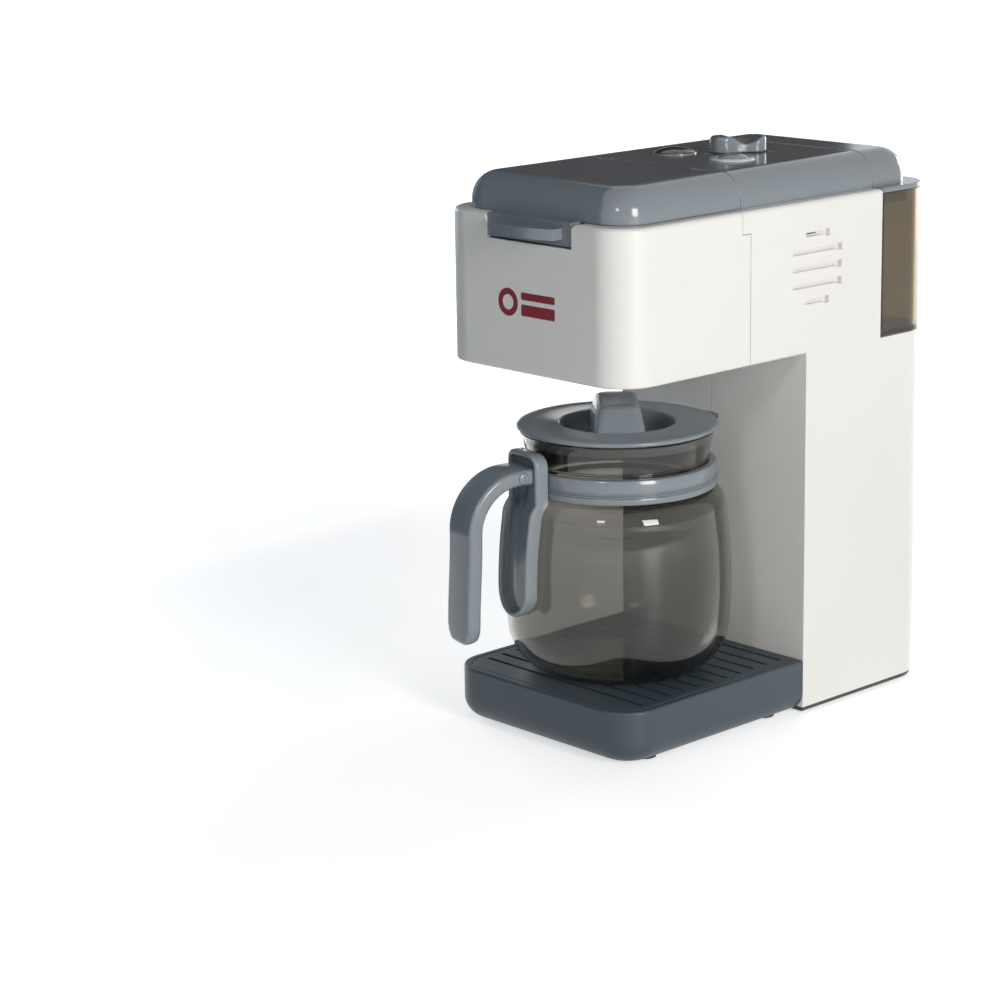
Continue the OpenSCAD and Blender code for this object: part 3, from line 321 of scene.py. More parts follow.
def start_material(name: str) -> tuple[Material, Tree, Socket]:
    """Makes an empty material.

    Args:
        name: Name of the material.

    Returns:
        The material, its tree and the place on the piece.
    """
    material = bpy.data.materials.new(name)
    material.use_nodes = True
    tree = material.node_tree
    tree.nodes.clear()
    return material, tree, add_node(tree, "ShaderNodeTexCoord").outputs["Object"]


@dataclass(frozen=True)
class Finish:
    """What all finishes share: two colours laid out by a mask, and a principled shader."""

    name: str
    colour: str
    cloud: str

    def material(self) -> Material:
        """Builds the material.

        Returns:
            The material with its shader and output.
        """
        material, tree, place = start_material(self.name)
        mask, values = self.pattern(tree, place)
        ends = {"A": linear(self.colour), "B": linear(self.cloud)}
        tint = add_node(tree, "ShaderNodeMix", {"data_type": "RGBA"}, ends | mask)
        values["Base Color"] = tint.outputs["Result"]
        shader = add_node(tree, "ShaderNodeBsdfPrincipled", None, values)
        surface = self.surface(tree, shader.outputs["BSDF"])
        add_node(tree, "ShaderNodeOutputMaterial", None, {"Surface": surface})
        return material

    def pattern(self, tree: Tree, place: Socket) -> tuple[dict[str, Any], dict[str, Any]]:
        """Lays out the finish.

        Args:
            tree: The material's tree.
            place: The place on the piece.

        Returns:
            Inputs of the mix of the two colours, and inputs of the shader.
        """
        raise NotImplementedError

    def surface(self, tree: Tree, shader: Socket) -> Socket:
        """Gives what the output shows: the shader as it is."""
        return shader


class Gloss(Enum):
    """How a mould's wall was finished, as the lowest and highest roughness it gives."""

    POLISHED = (0.13, 0.17)
    SEMI = (0.285, 0.34)
    SATIN = (0.38, 0.45)
    MATT = (0.58, 0.72)


@dataclass(frozen=True)
class MouldedPlastic(Finish):
    """Injection-moulded plastic: even colour with faint flow clouds, fine grain, soft edges.

    The roughness drifts over some 30 mm, so a long highlight is never quite even, and walls
    sink by a few thousandths of a millimetre over their ribs, which bends it slightly.
    """

    gloss: Gloss
    cloud_mm: float = 60
    drift_mm: float = 30
    sink_mm: float = 22
    grain_mm: float = 0.35
    grain_depth_mm: float = 0.0008
    sink_depth_mm: float = 0.01
    edge_mm: float = 0.35

    def pattern(self, tree: Tree, place: Socket) -> tuple[dict[str, Any], dict[str, Any]]:
        """Lays flow clouds, as the melt leaves them round ribs and bosses.

        Args:
            tree: The material's tree.
            place: The place on the piece.

        Returns:
            Inputs of the mix of the two colours, and inputs of the shader.
        """
        edge = add_node(tree, "ShaderNodeBevel", {"samples": 4}, {"Radius": self.edge_mm * MM})
        sink = relief(tree, place, self.sink_mm, 0, self.sink_depth_mm, edge.outputs["Normal"])
        return (
            {"Factor": patches(tree, place, self.cloud_mm, 1, (0.2, 0.8), (0, 1))},
            {"Roughness": patches(tree, place, self.drift_mm, 1, (0.2, 0.8), self.gloss.value),
             "Normal": relief(tree, place, self.grain_mm, 1, self.grain_depth_mm, sink),
             "IOR": 1.53},
        )


@dataclass(frozen=True)
class ClearPlastic(Finish):
    """Clear polystyrene with a tint: smooth, slightly wavy walls that gather fine dust."""

    clarity: float = 1.0
    roughness: float = 0.01
    dust_mm: float = 40
    mark_mm: float = 12
    mark_gain: float = 0.02
    wave_mm: float = 16
    wave_depth_mm: float = 0.03

    def pattern(self, tree: Tree, place: Socket) -> tuple[dict[str, Any], dict[str, Any]]:
        """Lays patches of handling marks over slow waves.

        Args:
            tree: The material's tree.
            place: The place on the piece.

        Returns:
            Inputs of the mix of the two colours, and inputs of the shader.
        """
        ends = (self.roughness, self.roughness + self.mark_gain)
        return (
            {"Factor": patches(tree, place, self.dust_mm, 3, (0.3, 0.7), (0, 1))},
            {"Roughness": patches(tree, place, self.mark_mm, 3, (0.45, 0.8), ends),
             "Normal": relief(tree, place, self.wave_mm, 1, self.wave_depth_mm),
             "Transmission Weight": self.clarity, "IOR": 1.5},
        )

    def surface(self, tree: Tree, shader: Socket) -> Socket:
        """Lets lamps shine through the wall, tinted, so that what stands behind it is lit.

        Args:
            tree: The material's tree.
            shader: The principled shader.

        Returns:
            What the output shows.
        """
        shade = [math.sqrt(c) for c in linear(self.colour)[:3]] + [1.0]
        lit = add_node(tree, "ShaderNodeBsdfTransparent", None, {"Color": shade})
        path = add_node(tree, "ShaderNodeLightPath").outputs["Is Shadow Ray"]
        return add_node(tree, "ShaderNodeMixShader", None,
                        {0: path, 1: shader, 2: lit.outputs["BSDF"]}).outputs[0]


@dataclass(frozen=True)
class ZincSteel(Finish):
    """Zinc-plated steel, drawn: bright grey with fine lines and cloudy plating."""

    colour: str = "#c3c7ca"
    cloud: str = "#a9a9a4"
    line_mm: float = 0.4
    line_depth_mm: float = 0.01
    plating_mm: float = 3

    def pattern(self, tree: Tree, place: Socket) -> tuple[dict[str, Any], dict[str, Any]]:
        """Stretches the drawing lines along x, under plating clouds.

        Args:
            tree: The material's tree.
            place: The place on the piece.

        Returns:
            Inputs of the mix of the two colours, and inputs of the shader.
        """
        drawn = add_node(tree, "ShaderNodeMapping", None,
                         {"Vector": place, "Scale": (0.05, 1.0, 1.0)}).outputs["Vector"]
        return (
            {"Factor": patches(tree, place, self.plating_mm, 4, (0.35, 0.7), (0, 1))},
            {"Roughness": patches(tree, place, self.plating_mm, 4, (0.3, 0.7), (0.29, 0.42)),
             "Normal": relief(tree, drawn, self.line_mm, 2, self.line_depth_mm),
             "Metallic": 1.0},
        )


@dataclass(frozen=True)
class CoffeeGrounds(Finish):
    """Ground coffee moulded in plastic: broken brown grains with lighter flecks."""

    colour: str = "#3a2416"
    cloud: str = "#6d4728"
    grain_mm: float = 1.1
    lump_mm: float = 1.4
    lump_depth_mm: float = 0.35

    def pattern(self, tree: Tree, place: Socket) -> tuple[dict[str, Any], dict[str, Any]]:
        """Colours the grains one by one, and heaps them in lumps.

        Args:
            tree: The material's tree.
            place: The place on the piece.

        Returns:
            Inputs of the mix of the two colours, and inputs of the shader.
        """
        cells = add_node(tree, "ShaderNodeTexVoronoi", None,
                         {"Vector": place, "Scale": 1 / (self.grain_mm * MM)})
        return (
            {"Factor": cells.outputs["Color"]},
            {"Roughness": patches(tree, place, self.lump_mm, 5, (0.3, 0.7), (0.55, 0.85)),
             "Normal": relief(tree, place, self.lump_mm, 5, self.lump_depth_mm)},
        )


@dataclass(frozen=True)
class CircuitLacquer(Finish):
    """Green solder resist over etched copper: traces stand out as lighter lines."""

    colour: str = "#1f5a38"
    cloud: str = "#3d8355"
    cell_mm: float = 5
    trace_depth_mm: float = 0.03

    def pattern(self, tree: Tree, place: Socket) -> tuple[dict[str, Any], dict[str, Any]]:
        """Draws square-cornered traces.

        Args:
            tree: The material's tree.
            place: The place on the piece.

        Returns:
            Inputs of the mix of the two colours, and inputs of the shader.
        """
        trace = add_node(tree, "ShaderNodeTexVoronoi",
                         {"feature": "F2", "distance": "CHEBYCHEV"},
                         {"Vector": place, "Scale": 1 / (self.cell_mm * MM)}).outputs["Distance"]
        lines = add_node(tree, "ShaderNodeMath", {"operation": "PINGPONG"}, {0: trace, 1: 0.09})
        mask = add_node(tree, "ShaderNodeMapRange", None,
                        {"Value": lines.outputs[0], "From Min": 0.045, "From Max": 0.06})
        raised = add_node(tree, "ShaderNodeBump", None,
                          {"Height": mask.outputs["Result"],
                           "Distance": self.trace_depth_mm * MM, "Strength": 1.0})
        return (
            {"Factor": mask.outputs["Result"]},
            {"Roughness": patches(tree, place, 6, 2, (0.3, 0.7), (0.29, 0.36)),
             "Normal": raised.outputs["Normal"]},
        )


@dataclass(frozen=True)
class BatterySleeve(Finish):
    """Shrink sleeve on a dry cell: printed blue with a pale band, and bare metal at the ends."""

    colour: str = "#35597c"
    cloud: str = "#b5b7b8"
    band: str = "#c9ced2"
    middle_y: float = COLUMN_Y + 36
    half_l: float = 25.2
    band_in: float = 9.0
    bare_in: float = 1.6

    def pattern(self, tree: Tree, place: Socket) -> tuple[dict[str, Any], dict[str, Any]]:
        """Splits the cell by the distance from its middle: sleeve, pale band, bare end.

        Args:
            tree: The material's tree.
            place: The place on the piece.

        Returns:
            Inputs of the mix of the two colours, and inputs of the shader.
        """
        split = add_node(tree, "ShaderNodeSeparateXYZ", None, {0: place})
        off = add_node(tree, "ShaderNodeMath", {"operation": "SUBTRACT"},
                       {0: split.outputs["Y"], 1: self.middle_y * MM})
        away = add_node(tree, "ShaderNodeMath", {"operation": "ABSOLUTE"}, {0: off.outputs[0]})
        band, end = [
            add_node(tree, "ShaderNodeMapRange", None,
                     {"Value": away.outputs[0], "From Min": (self.half_l - edge) * MM,
                      "From Max": (self.half_l - edge + 0.1) * MM}).outputs["Result"]
            for edge in (self.band_in, self.bare_in)
        ]
        sleeve = add_node(tree, "ShaderNodeMix", {"data_type": "RGBA"},
                          {"Factor": band, "A": linear(self.colour), "B": linear(self.band)})
        return (
            {"Factor": end, "A": sleeve.outputs["Result"]},
            {"Roughness": patches(tree, place, 5, 2, (0.3, 0.7), (0.29, 0.36)),
             "Normal": relief(tree, place, 2, 2, 0.01), "Metallic": end},
        )


FINISHES = {
    # Shells: a half-gloss skin that spreads the lamps into broad, pale sheens
    "white_abs": MouldedPlastic("white ABS, moulded semi-gloss", "#f0efeb", "#eeece8",
                                Gloss.SEMI, grain_depth_mm=0.0003, sink_depth_mm=0.004),
    # Covers, knob, band and handle: a glossy skin with crisp highlights along its edges
    "grey_abs": MouldedPlastic("grey ABS, moulded in a polished mould", "#848c92", "#828a90",
                               Gloss.POLISHED, grain_depth_mm=0.0002, sink_depth_mm=0.006),
    # Tray and grille: an even dark grey without a sharp reflection
    "tray_grey_abs": MouldedPlastic("dark grey ABS, moulded satin", "#3a4751", "#37444e",
                                    Gloss.SATIN, grain_depth_mm=0.002),
    # Brew button: nearly black, with one sharp highlight on its dome
    "dark_abs": MouldedPlastic("black ABS, polished", "#34373a", "#313437", Gloss.POLISHED,
                               grain_depth_mm=0.0002),
    # Bottom plate and battery door: soft black with a faint, fine grain
    "foot_abs": MouldedPlastic("black ABS, satin", "#35383b", "#323538", Gloss.SATIN,
                               grain_depth_mm=0.004),
    # Pump and loudspeaker: plain black with a soft sheen
    "pump_black": MouldedPlastic("black nylon, moulded", "#2b2d30", "#282a2d", Gloss.SATIN),
    # Switches, plungers and shaft: the deepest black, with the same sheen
    "switch_black": MouldedPlastic("black phenolic, moulded", "#222427", "#1f2124",
                                   Gloss.SATIN),
    # Feet: dull black with a coarse grain, which shows no lamp
    "foot_rubber": MouldedPlastic("black rubber, moulded", "#2c2e30", "#292b2d", Gloss.MATT,
                                  grain_depth_mm=0.02),
    # Tubes: a whitish skin that looks soft
    "silicone_hose": MouldedPlastic("milky silicone, extruded", "#d3d6d6", "#cdd0d0",
                                    Gloss.SATIN),
    # Tank: brownish smoke that gets darker where one wall stands behind another
    "smoke_tank": ClearPlastic("smoked styrene, tank", "#87795f", "#83755c"),
    # Jug: a lighter, greyer smoke, through which its far wall shows
    "smoke_jug": ClearPlastic("smoked styrene, jug", "#a19f99", "#9e9c96"),
    # Light button's collar: cloudy and whitish, so that it gathers the light
    "clear_ring": ClearPlastic("milky styrene, ring", "#eef0f0", "#e8ebec", clarity=0.3,
                               roughness=0.1),
    # Lamp under the light button: clear as water, with a cold tint
    "clear_led": ClearPlastic("clear epoxy, lamp", "#f2f5fa", "#e8edf5"),
    # Pins, screws and contacts: bright grey metal that glints in lines
    "zinc_steel": ZincSteel("zinc-plated steel, drawn"),
    # Powder: dull, uneven brown in which single grains stand out
    "coffee_brown": CoffeeGrounds("coffee grounds, moulded"),
    # Board: smooth green with a net of lighter traces
    "board_green": CircuitLacquer("circuit board lacquer"),
    # Cells: smooth blue sleeves between bright ends
    "battery_sleeve": BatterySleeve("dry cell sleeve, printed"),
    # Prints: flat films of one colour that stand a hair off the wall
    "red_ink": MouldedPlastic("dark red pad print", "#8f2d38", "#8a2933", Gloss.SEMI,
                              grain_mm=0.2, edge_mm=0.05),
    "white_ink": MouldedPlastic("white pad print", "#a9adb0", "#a3a7aa", Gloss.SEMI,
                                grain_mm=0.2, edge_mm=0.05),
}


class Workshop:
    """What every sub-assembly needs: the frame, and each finish's material, made once."""

    def __init__(self, frame: dict[str, Any]) -> None:
        """Starts with the frame and with no material made."""
        self.frame = frame
        self.made: dict[str, Material] = {}

    def material(self, finish: str) -> Material:
        """Gives the material of a finish, made on first use.

        Args:
            finish: Name of the finish.

        Returns:
            Its material.
        """
        if finish not in self.made:
            self.made[finish] = FINISHES[finish].material()
        return self.made[finish]

    def dress(self, piece: Piece, finish: str) -> None:
        """Puts a finish on a piece's whole mesh."""
        piece.data.materials.clear()
        piece.data.materials.append(self.material(finish))

    def dress_nodes(self, finishes: dict[str, Sequence[str]]) -> None:
        """Gives CAD nodes their finish and keeps their meshes.

        Args:
            finishes: The nodes' names, by finish.
        """
        for finish, nodes in finishes.items():
            for node in nodes:
                self.dress(self.frame["nodes"][node], finish)
                LOG.info("%s: %s", node, finish)

    def deliver(self, piece: Piece, body: str, finish: str, node: str | None = None) -> None:
        """Dresses a new piece and puts it on its body, and in the place of its CAD node.

        Args:
            piece: The new mesh.
            body: The CAD body that it rides on.
            finish: Name of its finish.
            node: The CAD node that it stands for, or None for a print or grains.
        """
        self.dress(piece, finish)
        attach(piece, body)
        if node:
            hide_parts(node)
        LOG.info("%s rides on %s, for %s", piece.name, body, node or "no node")


# ------------------------------------------------------------------ patterns of copies


def start_tree(name: str, sizes: dict[str, str]) -> tuple[Tree, bpy.types.NodeOutputs]:
    """Starts a geometry tree.

    Args:
        name: Name of the tree.
        sizes: Kinds of its inputs, by input name.

    Returns:
        The tree, and its inputs as sockets by name.
    """
    tree = bpy.data.node_groups.new(name, "GeometryNodeTree")
    for title, kind in {"Geometry": "Geometry", **sizes, "Material": "Material"}.items():
        tree.interface.new_socket(title, in_out="INPUT", socket_type="NodeSocket" + kind)
    tree.interface.new_socket("Geometry", in_out="OUTPUT", socket_type="NodeSocketGeometry")
    return tree, add_node(tree, "NodeGroupInput").outputs


def end_tree(tree: Tree, shape: Socket, material: Socket) -> Tree:
    """Ends a geometry tree with real geometry and its material.

    Args:
        tree: The tree.
        shape: Its copies.
        material: Its input for the material.

    Returns:
        The tree.
    """
    real = add_node(tree, "GeometryNodeRealizeInstances", None, {"Geometry": shape})
    coated = add_node(tree, "GeometryNodeSetMaterial", None,
                      {"Geometry": real.outputs["Geometry"], "Material": material})
    add_node(tree, "NodeGroupOutput", None, {0: coated.outputs["Geometry"]})
    return tree


def tick_ring() -> Tree:
    """Builds the tree that lays short printed ticks on a circle.

    Returns:
        The tree.
    """
    tree, sizes = start_tree("tick_ring", {
        "Middle": "Vector", "Radius": "Float", "Ticks": "Int", "Tick Size": "Vector"})
    circle = add_node(tree, "GeometryNodeMeshCircle", None,
                      {"Vertices": sizes["Ticks"], "Radius": sizes["Radius"]})
    moved = add_node(tree, "GeometryNodeTransform", None,
                     {"Geometry": circle.outputs["Mesh"], "Translation": sizes["Middle"]})
    place = add_node(tree, "GeometryNodeInputPosition").outputs[0]
    out = add_node(tree, "ShaderNodeVectorMath", {"operation": "SUBTRACT"},
                   {0: place, 1: sizes["Middle"]})
    turn = add_node(tree, "FunctionNodeAlignRotationToVector", {"axis": "X"},
                    {"Vector": out.outputs["Vector"]})
    tick = add_node(tree, "GeometryNodeMeshCube", None, {"Size": sizes["Tick Size"]})
    copies = add_node(tree, "GeometryNodeInstanceOnPoints", None,
                      {"Points": moved.outputs["Geometry"], "Instance": tick.outputs["Mesh"],
                       "Rotation": turn.outputs["Rotation"]})
    return end_tree(tree, copies.outputs["Instances"], sizes["Material"])


def grain_bed() -> Tree:
    """Builds the tree that strews broken grains over a flat rectangle.

    Returns:
        The tree.
    """
    tree, sizes = start_tree("grain_bed", {
        "Middle": "Vector", "Length": "Float", "Width": "Float", "Grain": "Float",
        "Density": "Float", "Seed": "Int"})
    sheet = add_node(tree, "GeometryNodeMeshGrid", None,
                     {"Size X": sizes["Length"], "Size Y": sizes["Width"],
                      "Vertices X": 2, "Vertices Y": 2})
    moved = add_node(tree, "GeometryNodeTransform", None,
                     {"Geometry": sheet.outputs["Mesh"], "Translation": sizes["Middle"]})
    points = add_node(tree, "GeometryNodeDistributePointsOnFaces", None,
                      {"Mesh": moved.outputs["Geometry"], "Density": sizes["Density"],
                       "Seed": sizes["Seed"]})
    grain = add_node(tree, "GeometryNodeMeshIcoSphere", None,
                     {"Radius": sizes["Grain"], "Subdivisions": 1})
    turn, size = [
        add_node(tree, "FunctionNodeRandomValue", {"data_type": "FLOAT_VECTOR"},
                 {"Min": low, "Max": high, "Seed": sizes["Seed"]}).outputs["Value"]
        for low, high in (((0, 0, 0), (6.28, 6.28, 6.28)), ((0.5, 0.5, 0.4), (1.3, 1.0, 0.8)))
    ]
    copies = add_node(tree, "GeometryNodeInstanceOnPoints", None,
                      {"Points": points.outputs["Points"], "Instance": grain.outputs["Mesh"],
                       "Rotation": turn, "Scale": size})
    return end_tree(tree, copies.outputs["Instances"], sizes["Material"])


def grow(name: str, tree: Tree, values: dict[str, Any]) -> Piece:
    """Runs a geometry tree and keeps the result as a plain mesh.

    Args:
        name: Name of the new piece.
        tree: The geometry tree.
        values: Input values by name.

    Returns:
        The piece.
    """
    empty = bpy.data.meshes.new(name)
    piece = bpy.data.objects.new(name, empty)
    bpy.context.scene.collection.objects.link(piece)
    modifier = piece.modifiers.new("nodes", "NODES")
    modifier.node_group = tree
    for item in tree.interface.items_tree:
        if item.in_out == "INPUT" and item.name in values:
            modifier[item.identifier] = values[item.name]
    bpy.context.view_layer.update()
    graph = bpy.context.evaluated_depsgraph_get()
    mesh = bpy.data.meshes.new_from_object(piece.evaluated_get(graph), depsgraph=graph)
    piece.modifiers.remove(modifier)
    piece.data = mesh
    bpy.data.meshes.remove(empty)
    mesh.name = name
    return piece


# ------------------------------------------------------------------ the machine


@dataclass
class Machine:
    """The fixed part: shells, covers, tank, tray, foot and all that they hold."""

    shop: Workshop
    mark_z: float = 182.0
    mark_t: float = 0.08
    mark_lift: float = 0.03
    ring_x: float = -12.0
    ring_r: float = 5.6
    ring_hole: float = 0.55
    bar_x: float = 5.0
    bar_half_w: float = 9.5
    bar_corner: float = 0.7
    ticks: int = 9
    tick_r: float = 13.7
    tick_size: Point = (1.3, 0.4, 0.06)
    bed_edge: float = 3.5
    grain_r: float = 1.0
    grain_density: float = 450000.0
    grain_seed: int = 7

    NODES = {
        "white_abs": ("front_shell", "housing_left", "housing_right", "hopper_tray"),
        "grey_abs": ("control_panel", "outlet_nozzle"),
        "zinc_steel": ("front_lid_pins", "tank_lid_pins", "board_screws", "door_screw",
                       "battery_contacts", "housing_screws"),
        "smoke_tank": ("water_tank",),
        "coffee_brown": ("coffee_bed",),
        "pump_black": ("pump_motor", "speaker"),
        "silicone_hose": ("inlet_tube", "outlet_tube"),
        "board_green": ("circuit_board",),
        "switch_black": ("button_switches", "knob_switch"),
        "clear_led": ("led_lamp",),
        "tray_grey_abs": ("base_tray", "drip_grille"),
        "foot_abs": ("bottom_plate", "battery_door"),
        "battery_sleeve": ("batteries",),
        "foot_rubber": ("rubber_feet",),
    }

    def build(self) -> None:
        """Dresses the machine's nodes and adds its prints and the loose grains."""
        self.shop.dress_nodes(self.NODES)
        self.shop.deliver(self.front_mark(), "machine", "red_ink")
        self.shop.deliver(self.panel_marks(), "machine", "white_ink")
        self.shop.deliver(self.grounds(), "machine", "coffee_brown")

    def grounds(self) -> Piece:
        """Strews grains over the powder bed under the front lid.

        Returns:
            The grains.
        """
        low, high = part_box("coffee_bed")
        margin = 2 * self.bed_edge * MM
        return grow("coffee_grains", grain_bed(), {
            "Middle": ((low[0] + high[0]) / 2, (low[1] + high[1]) / 2, high[2] - 0.3 * MM),
            "Length": high[0] - low[0] - margin, "Width": high[1] - low[1] - margin,
            "Grain": self.grain_r * MM, "Density": self.grain_density,
            "Seed": self.grain_seed,
            "Material": self.shop.material("coffee_brown"),
        })

    def print_plate(self, outline: Line, hole: float = 0.0) -> Skin:
        """Skin of one thin print on the head's front.

        Args:
            outline: Its outline as (x, z) points.
            hole: Width of the hole in it, as a share of its own.

        Returns:
            Points and faces.
        """
        front = FRONT_Y - self.mark_lift
        back = front + self.mark_t
        lines = [(back, outline), (front, outline)]
        if hole:
            mid_x = sum(p[0] for p in outline) / len(outline)
            mid_z = sum(p[1] for p in outline) / len(outline)
            inner = [(mid_x + (x - mid_x) * hole, mid_z + (z - mid_z) * hole) for x, z in outline]
            lines += [(front, inner), (back, inner)]
        return loft([[(x, y, z) for x, z in line] for y, line in lines], loop=bool(hole))

    def front_mark(self) -> Piece:
        """Builds a plain print on the head's front: a ring and two bars.

        Returns:
            The print.
        """
        ring = [(x + self.ring_x, self.mark_z + z)
                for x, z in arc(0, 0, self.ring_r, 0, 352.5, 47)]
        plates = [self.print_plate(ring, self.ring_hole)]
        for up, half_h in ((3.2, 1.5), (-2.4, 2.3)):
            bar = rounded_rectangle(self.bar_half_w, half_h, self.bar_corner)
            plates.append(self.print_plate(
                [(self.bar_x + x, self.mark_z + up + z) for x, z in bar]))
        points: list[Sequence[float]] = []
        faces: list[list[int]] = []
        for new_points, new_faces in plates:
            faces += [[len(points) + i for i in face] for face in new_faces]
            points += new_points
        return make_mesh("front_print", (points, faces))

    def panel_marks(self) -> Piece:
        """Builds the ticks round the knob as one print.

        Returns:
            The print.
        """
        middle = (*KNOB_PLACE, PANEL_Z + 0.02)
        return grow("panel_print", tick_ring(), {
            "Middle": tuple(c * MM for c in middle), "Radius": self.tick_r * MM,
            "Ticks": self.ticks, "Tick Size": tuple(c * MM for c in self.tick_size),
            "Material": self.shop.material("white_ink"),
        })


@dataclass
class Controls:
    """The lids, the two buttons and the knob: what a hand moves on the machine."""

    shop: Workshop
    light: Axis = Axis(16.3, SEAM_Y + 29.2, PANEL_Z, 0.0)
    knob: Axis = Axis(*KNOB_PLACE, PANEL_Z + 0.3, -30.0)
    knob_h: float = 6.6
    half_l: float = 12.0
    half_w: float = 6.0
    waist: float = 1.0
    saddle: float = 3.2
    dip_y: float = 2.6
    dip_reach: float = 8.6

    NODES = {
        "grey_abs": ("front_lid", "tank_lid", "light_button"),
        "dark_abs": ("brew_button",),
        "switch_black": ("brew_plunger", "light_plunger", "knob_shaft"),
    }

    def build(self) -> None:
        """Dresses the moving nodes, and builds the knob and the light button's collar."""
        self.shop.dress_nodes(self.NODES)
        self.shop.deliver(self.knob_grip(), "selector_knob", "grey_abs", "selector_knob")
        self.shop.deliver(self.collar(), "machine", "clear_ring", "lamp_ring")

    def collar(self) -> Piece:
        """Revolves the clear collar round the light button: a sleeve and a rounded flange.

        Returns:
            The collar.
        """
        profile = [(6.6, -3.2), (6.6, 0.55), (6.75, 0.85), (7.1, 0.95), (7.7, 0.9), (8.5, 0.65),
                   (8.9, 0.4), (9.0, 0.2), (8.95, 0.03), (7.7, 0.02), (7.7, -3.2)]
        return self.light.revolve("light_collar", profile, 96)

    def outline(self, inset: float) -> Line:
        """Outline of the knob: two round ends and a slight waist.

        Args:
            inset: How far it is drawn in.

        Returns:
            The points of the outline.
        """
        r = self.half_w
        length = self.half_l - r
        steps = [length - 2 * length * k / 12 for k in range(1, 12)]
        line = arc(0, length, r, 0, 180, 18) + [(-r, y) for y in steps]
        line += arc(0, -length, r, 180, 360, 18) + [(r, -y) for y in steps]
        scale = max(0.0, (r - inset) / r)
        out = []
        for x, y in line:
            pull = self.waist * max(0.0, 1 - (y / (length + 3)) ** 2) ** 2
            x -= math.copysign(pull, x) if abs(x) > 2 else 0
            end = math.copysign(length, y)
            out.append((x * scale, end + (y - end) * scale if abs(y) > length else y))
        return out

    def top(self, y: float) -> float:
        """Height of the knob's top, with its saddle.

        Args:
            y: Place along the knob.

        Returns:
            The height over the knob's foot.
        """
        t = min(1.0, abs(y - self.dip_y) / self.dip_reach)
        crest = self.knob_h - self.saddle * (0.5 + 0.5 * math.cos(math.pi * t))
        return crest - 0.5 * smoothstep(self.half_l - 2.6, self.half_l, abs(y))

    def knob_grip(self) -> Piece:
        """Builds the knob: straight sides, a rounded rim and a top that dips in the middle.

        Returns:
            The knob.
        """
        middle = self.half_w - 0.02
        rings = []
        for inset, low in ((middle, 0.0), (0.5, 0.0), (0.0, 0.5)):
            rings.append([(x, y, low) for x, y in self.outline(inset)])
        for share in (0.3, 0.6, 0.85):
            rings.append([(x, y, 0.5 + share * (self.top(y) - 1.3)) for x, y in self.outline(0)])
        for inset, down in ((0.0, 0.9), (0.12, 0.5), (0.35, 0.2), (0.75, 0.03), (1.2, 0.0),
                            (2.4, 0.0), (4.2, 0.0), (middle, 0.0)):
            rings.append([(x, y, self.top(y) - down) for x, y in self.outline(inset)])
        placed = [[self.knob.place(*point) for point in ring] for ring in rings]
        return make_mesh("knob_grip", loft(placed))


# ------------------------------------------------------------------ the jug


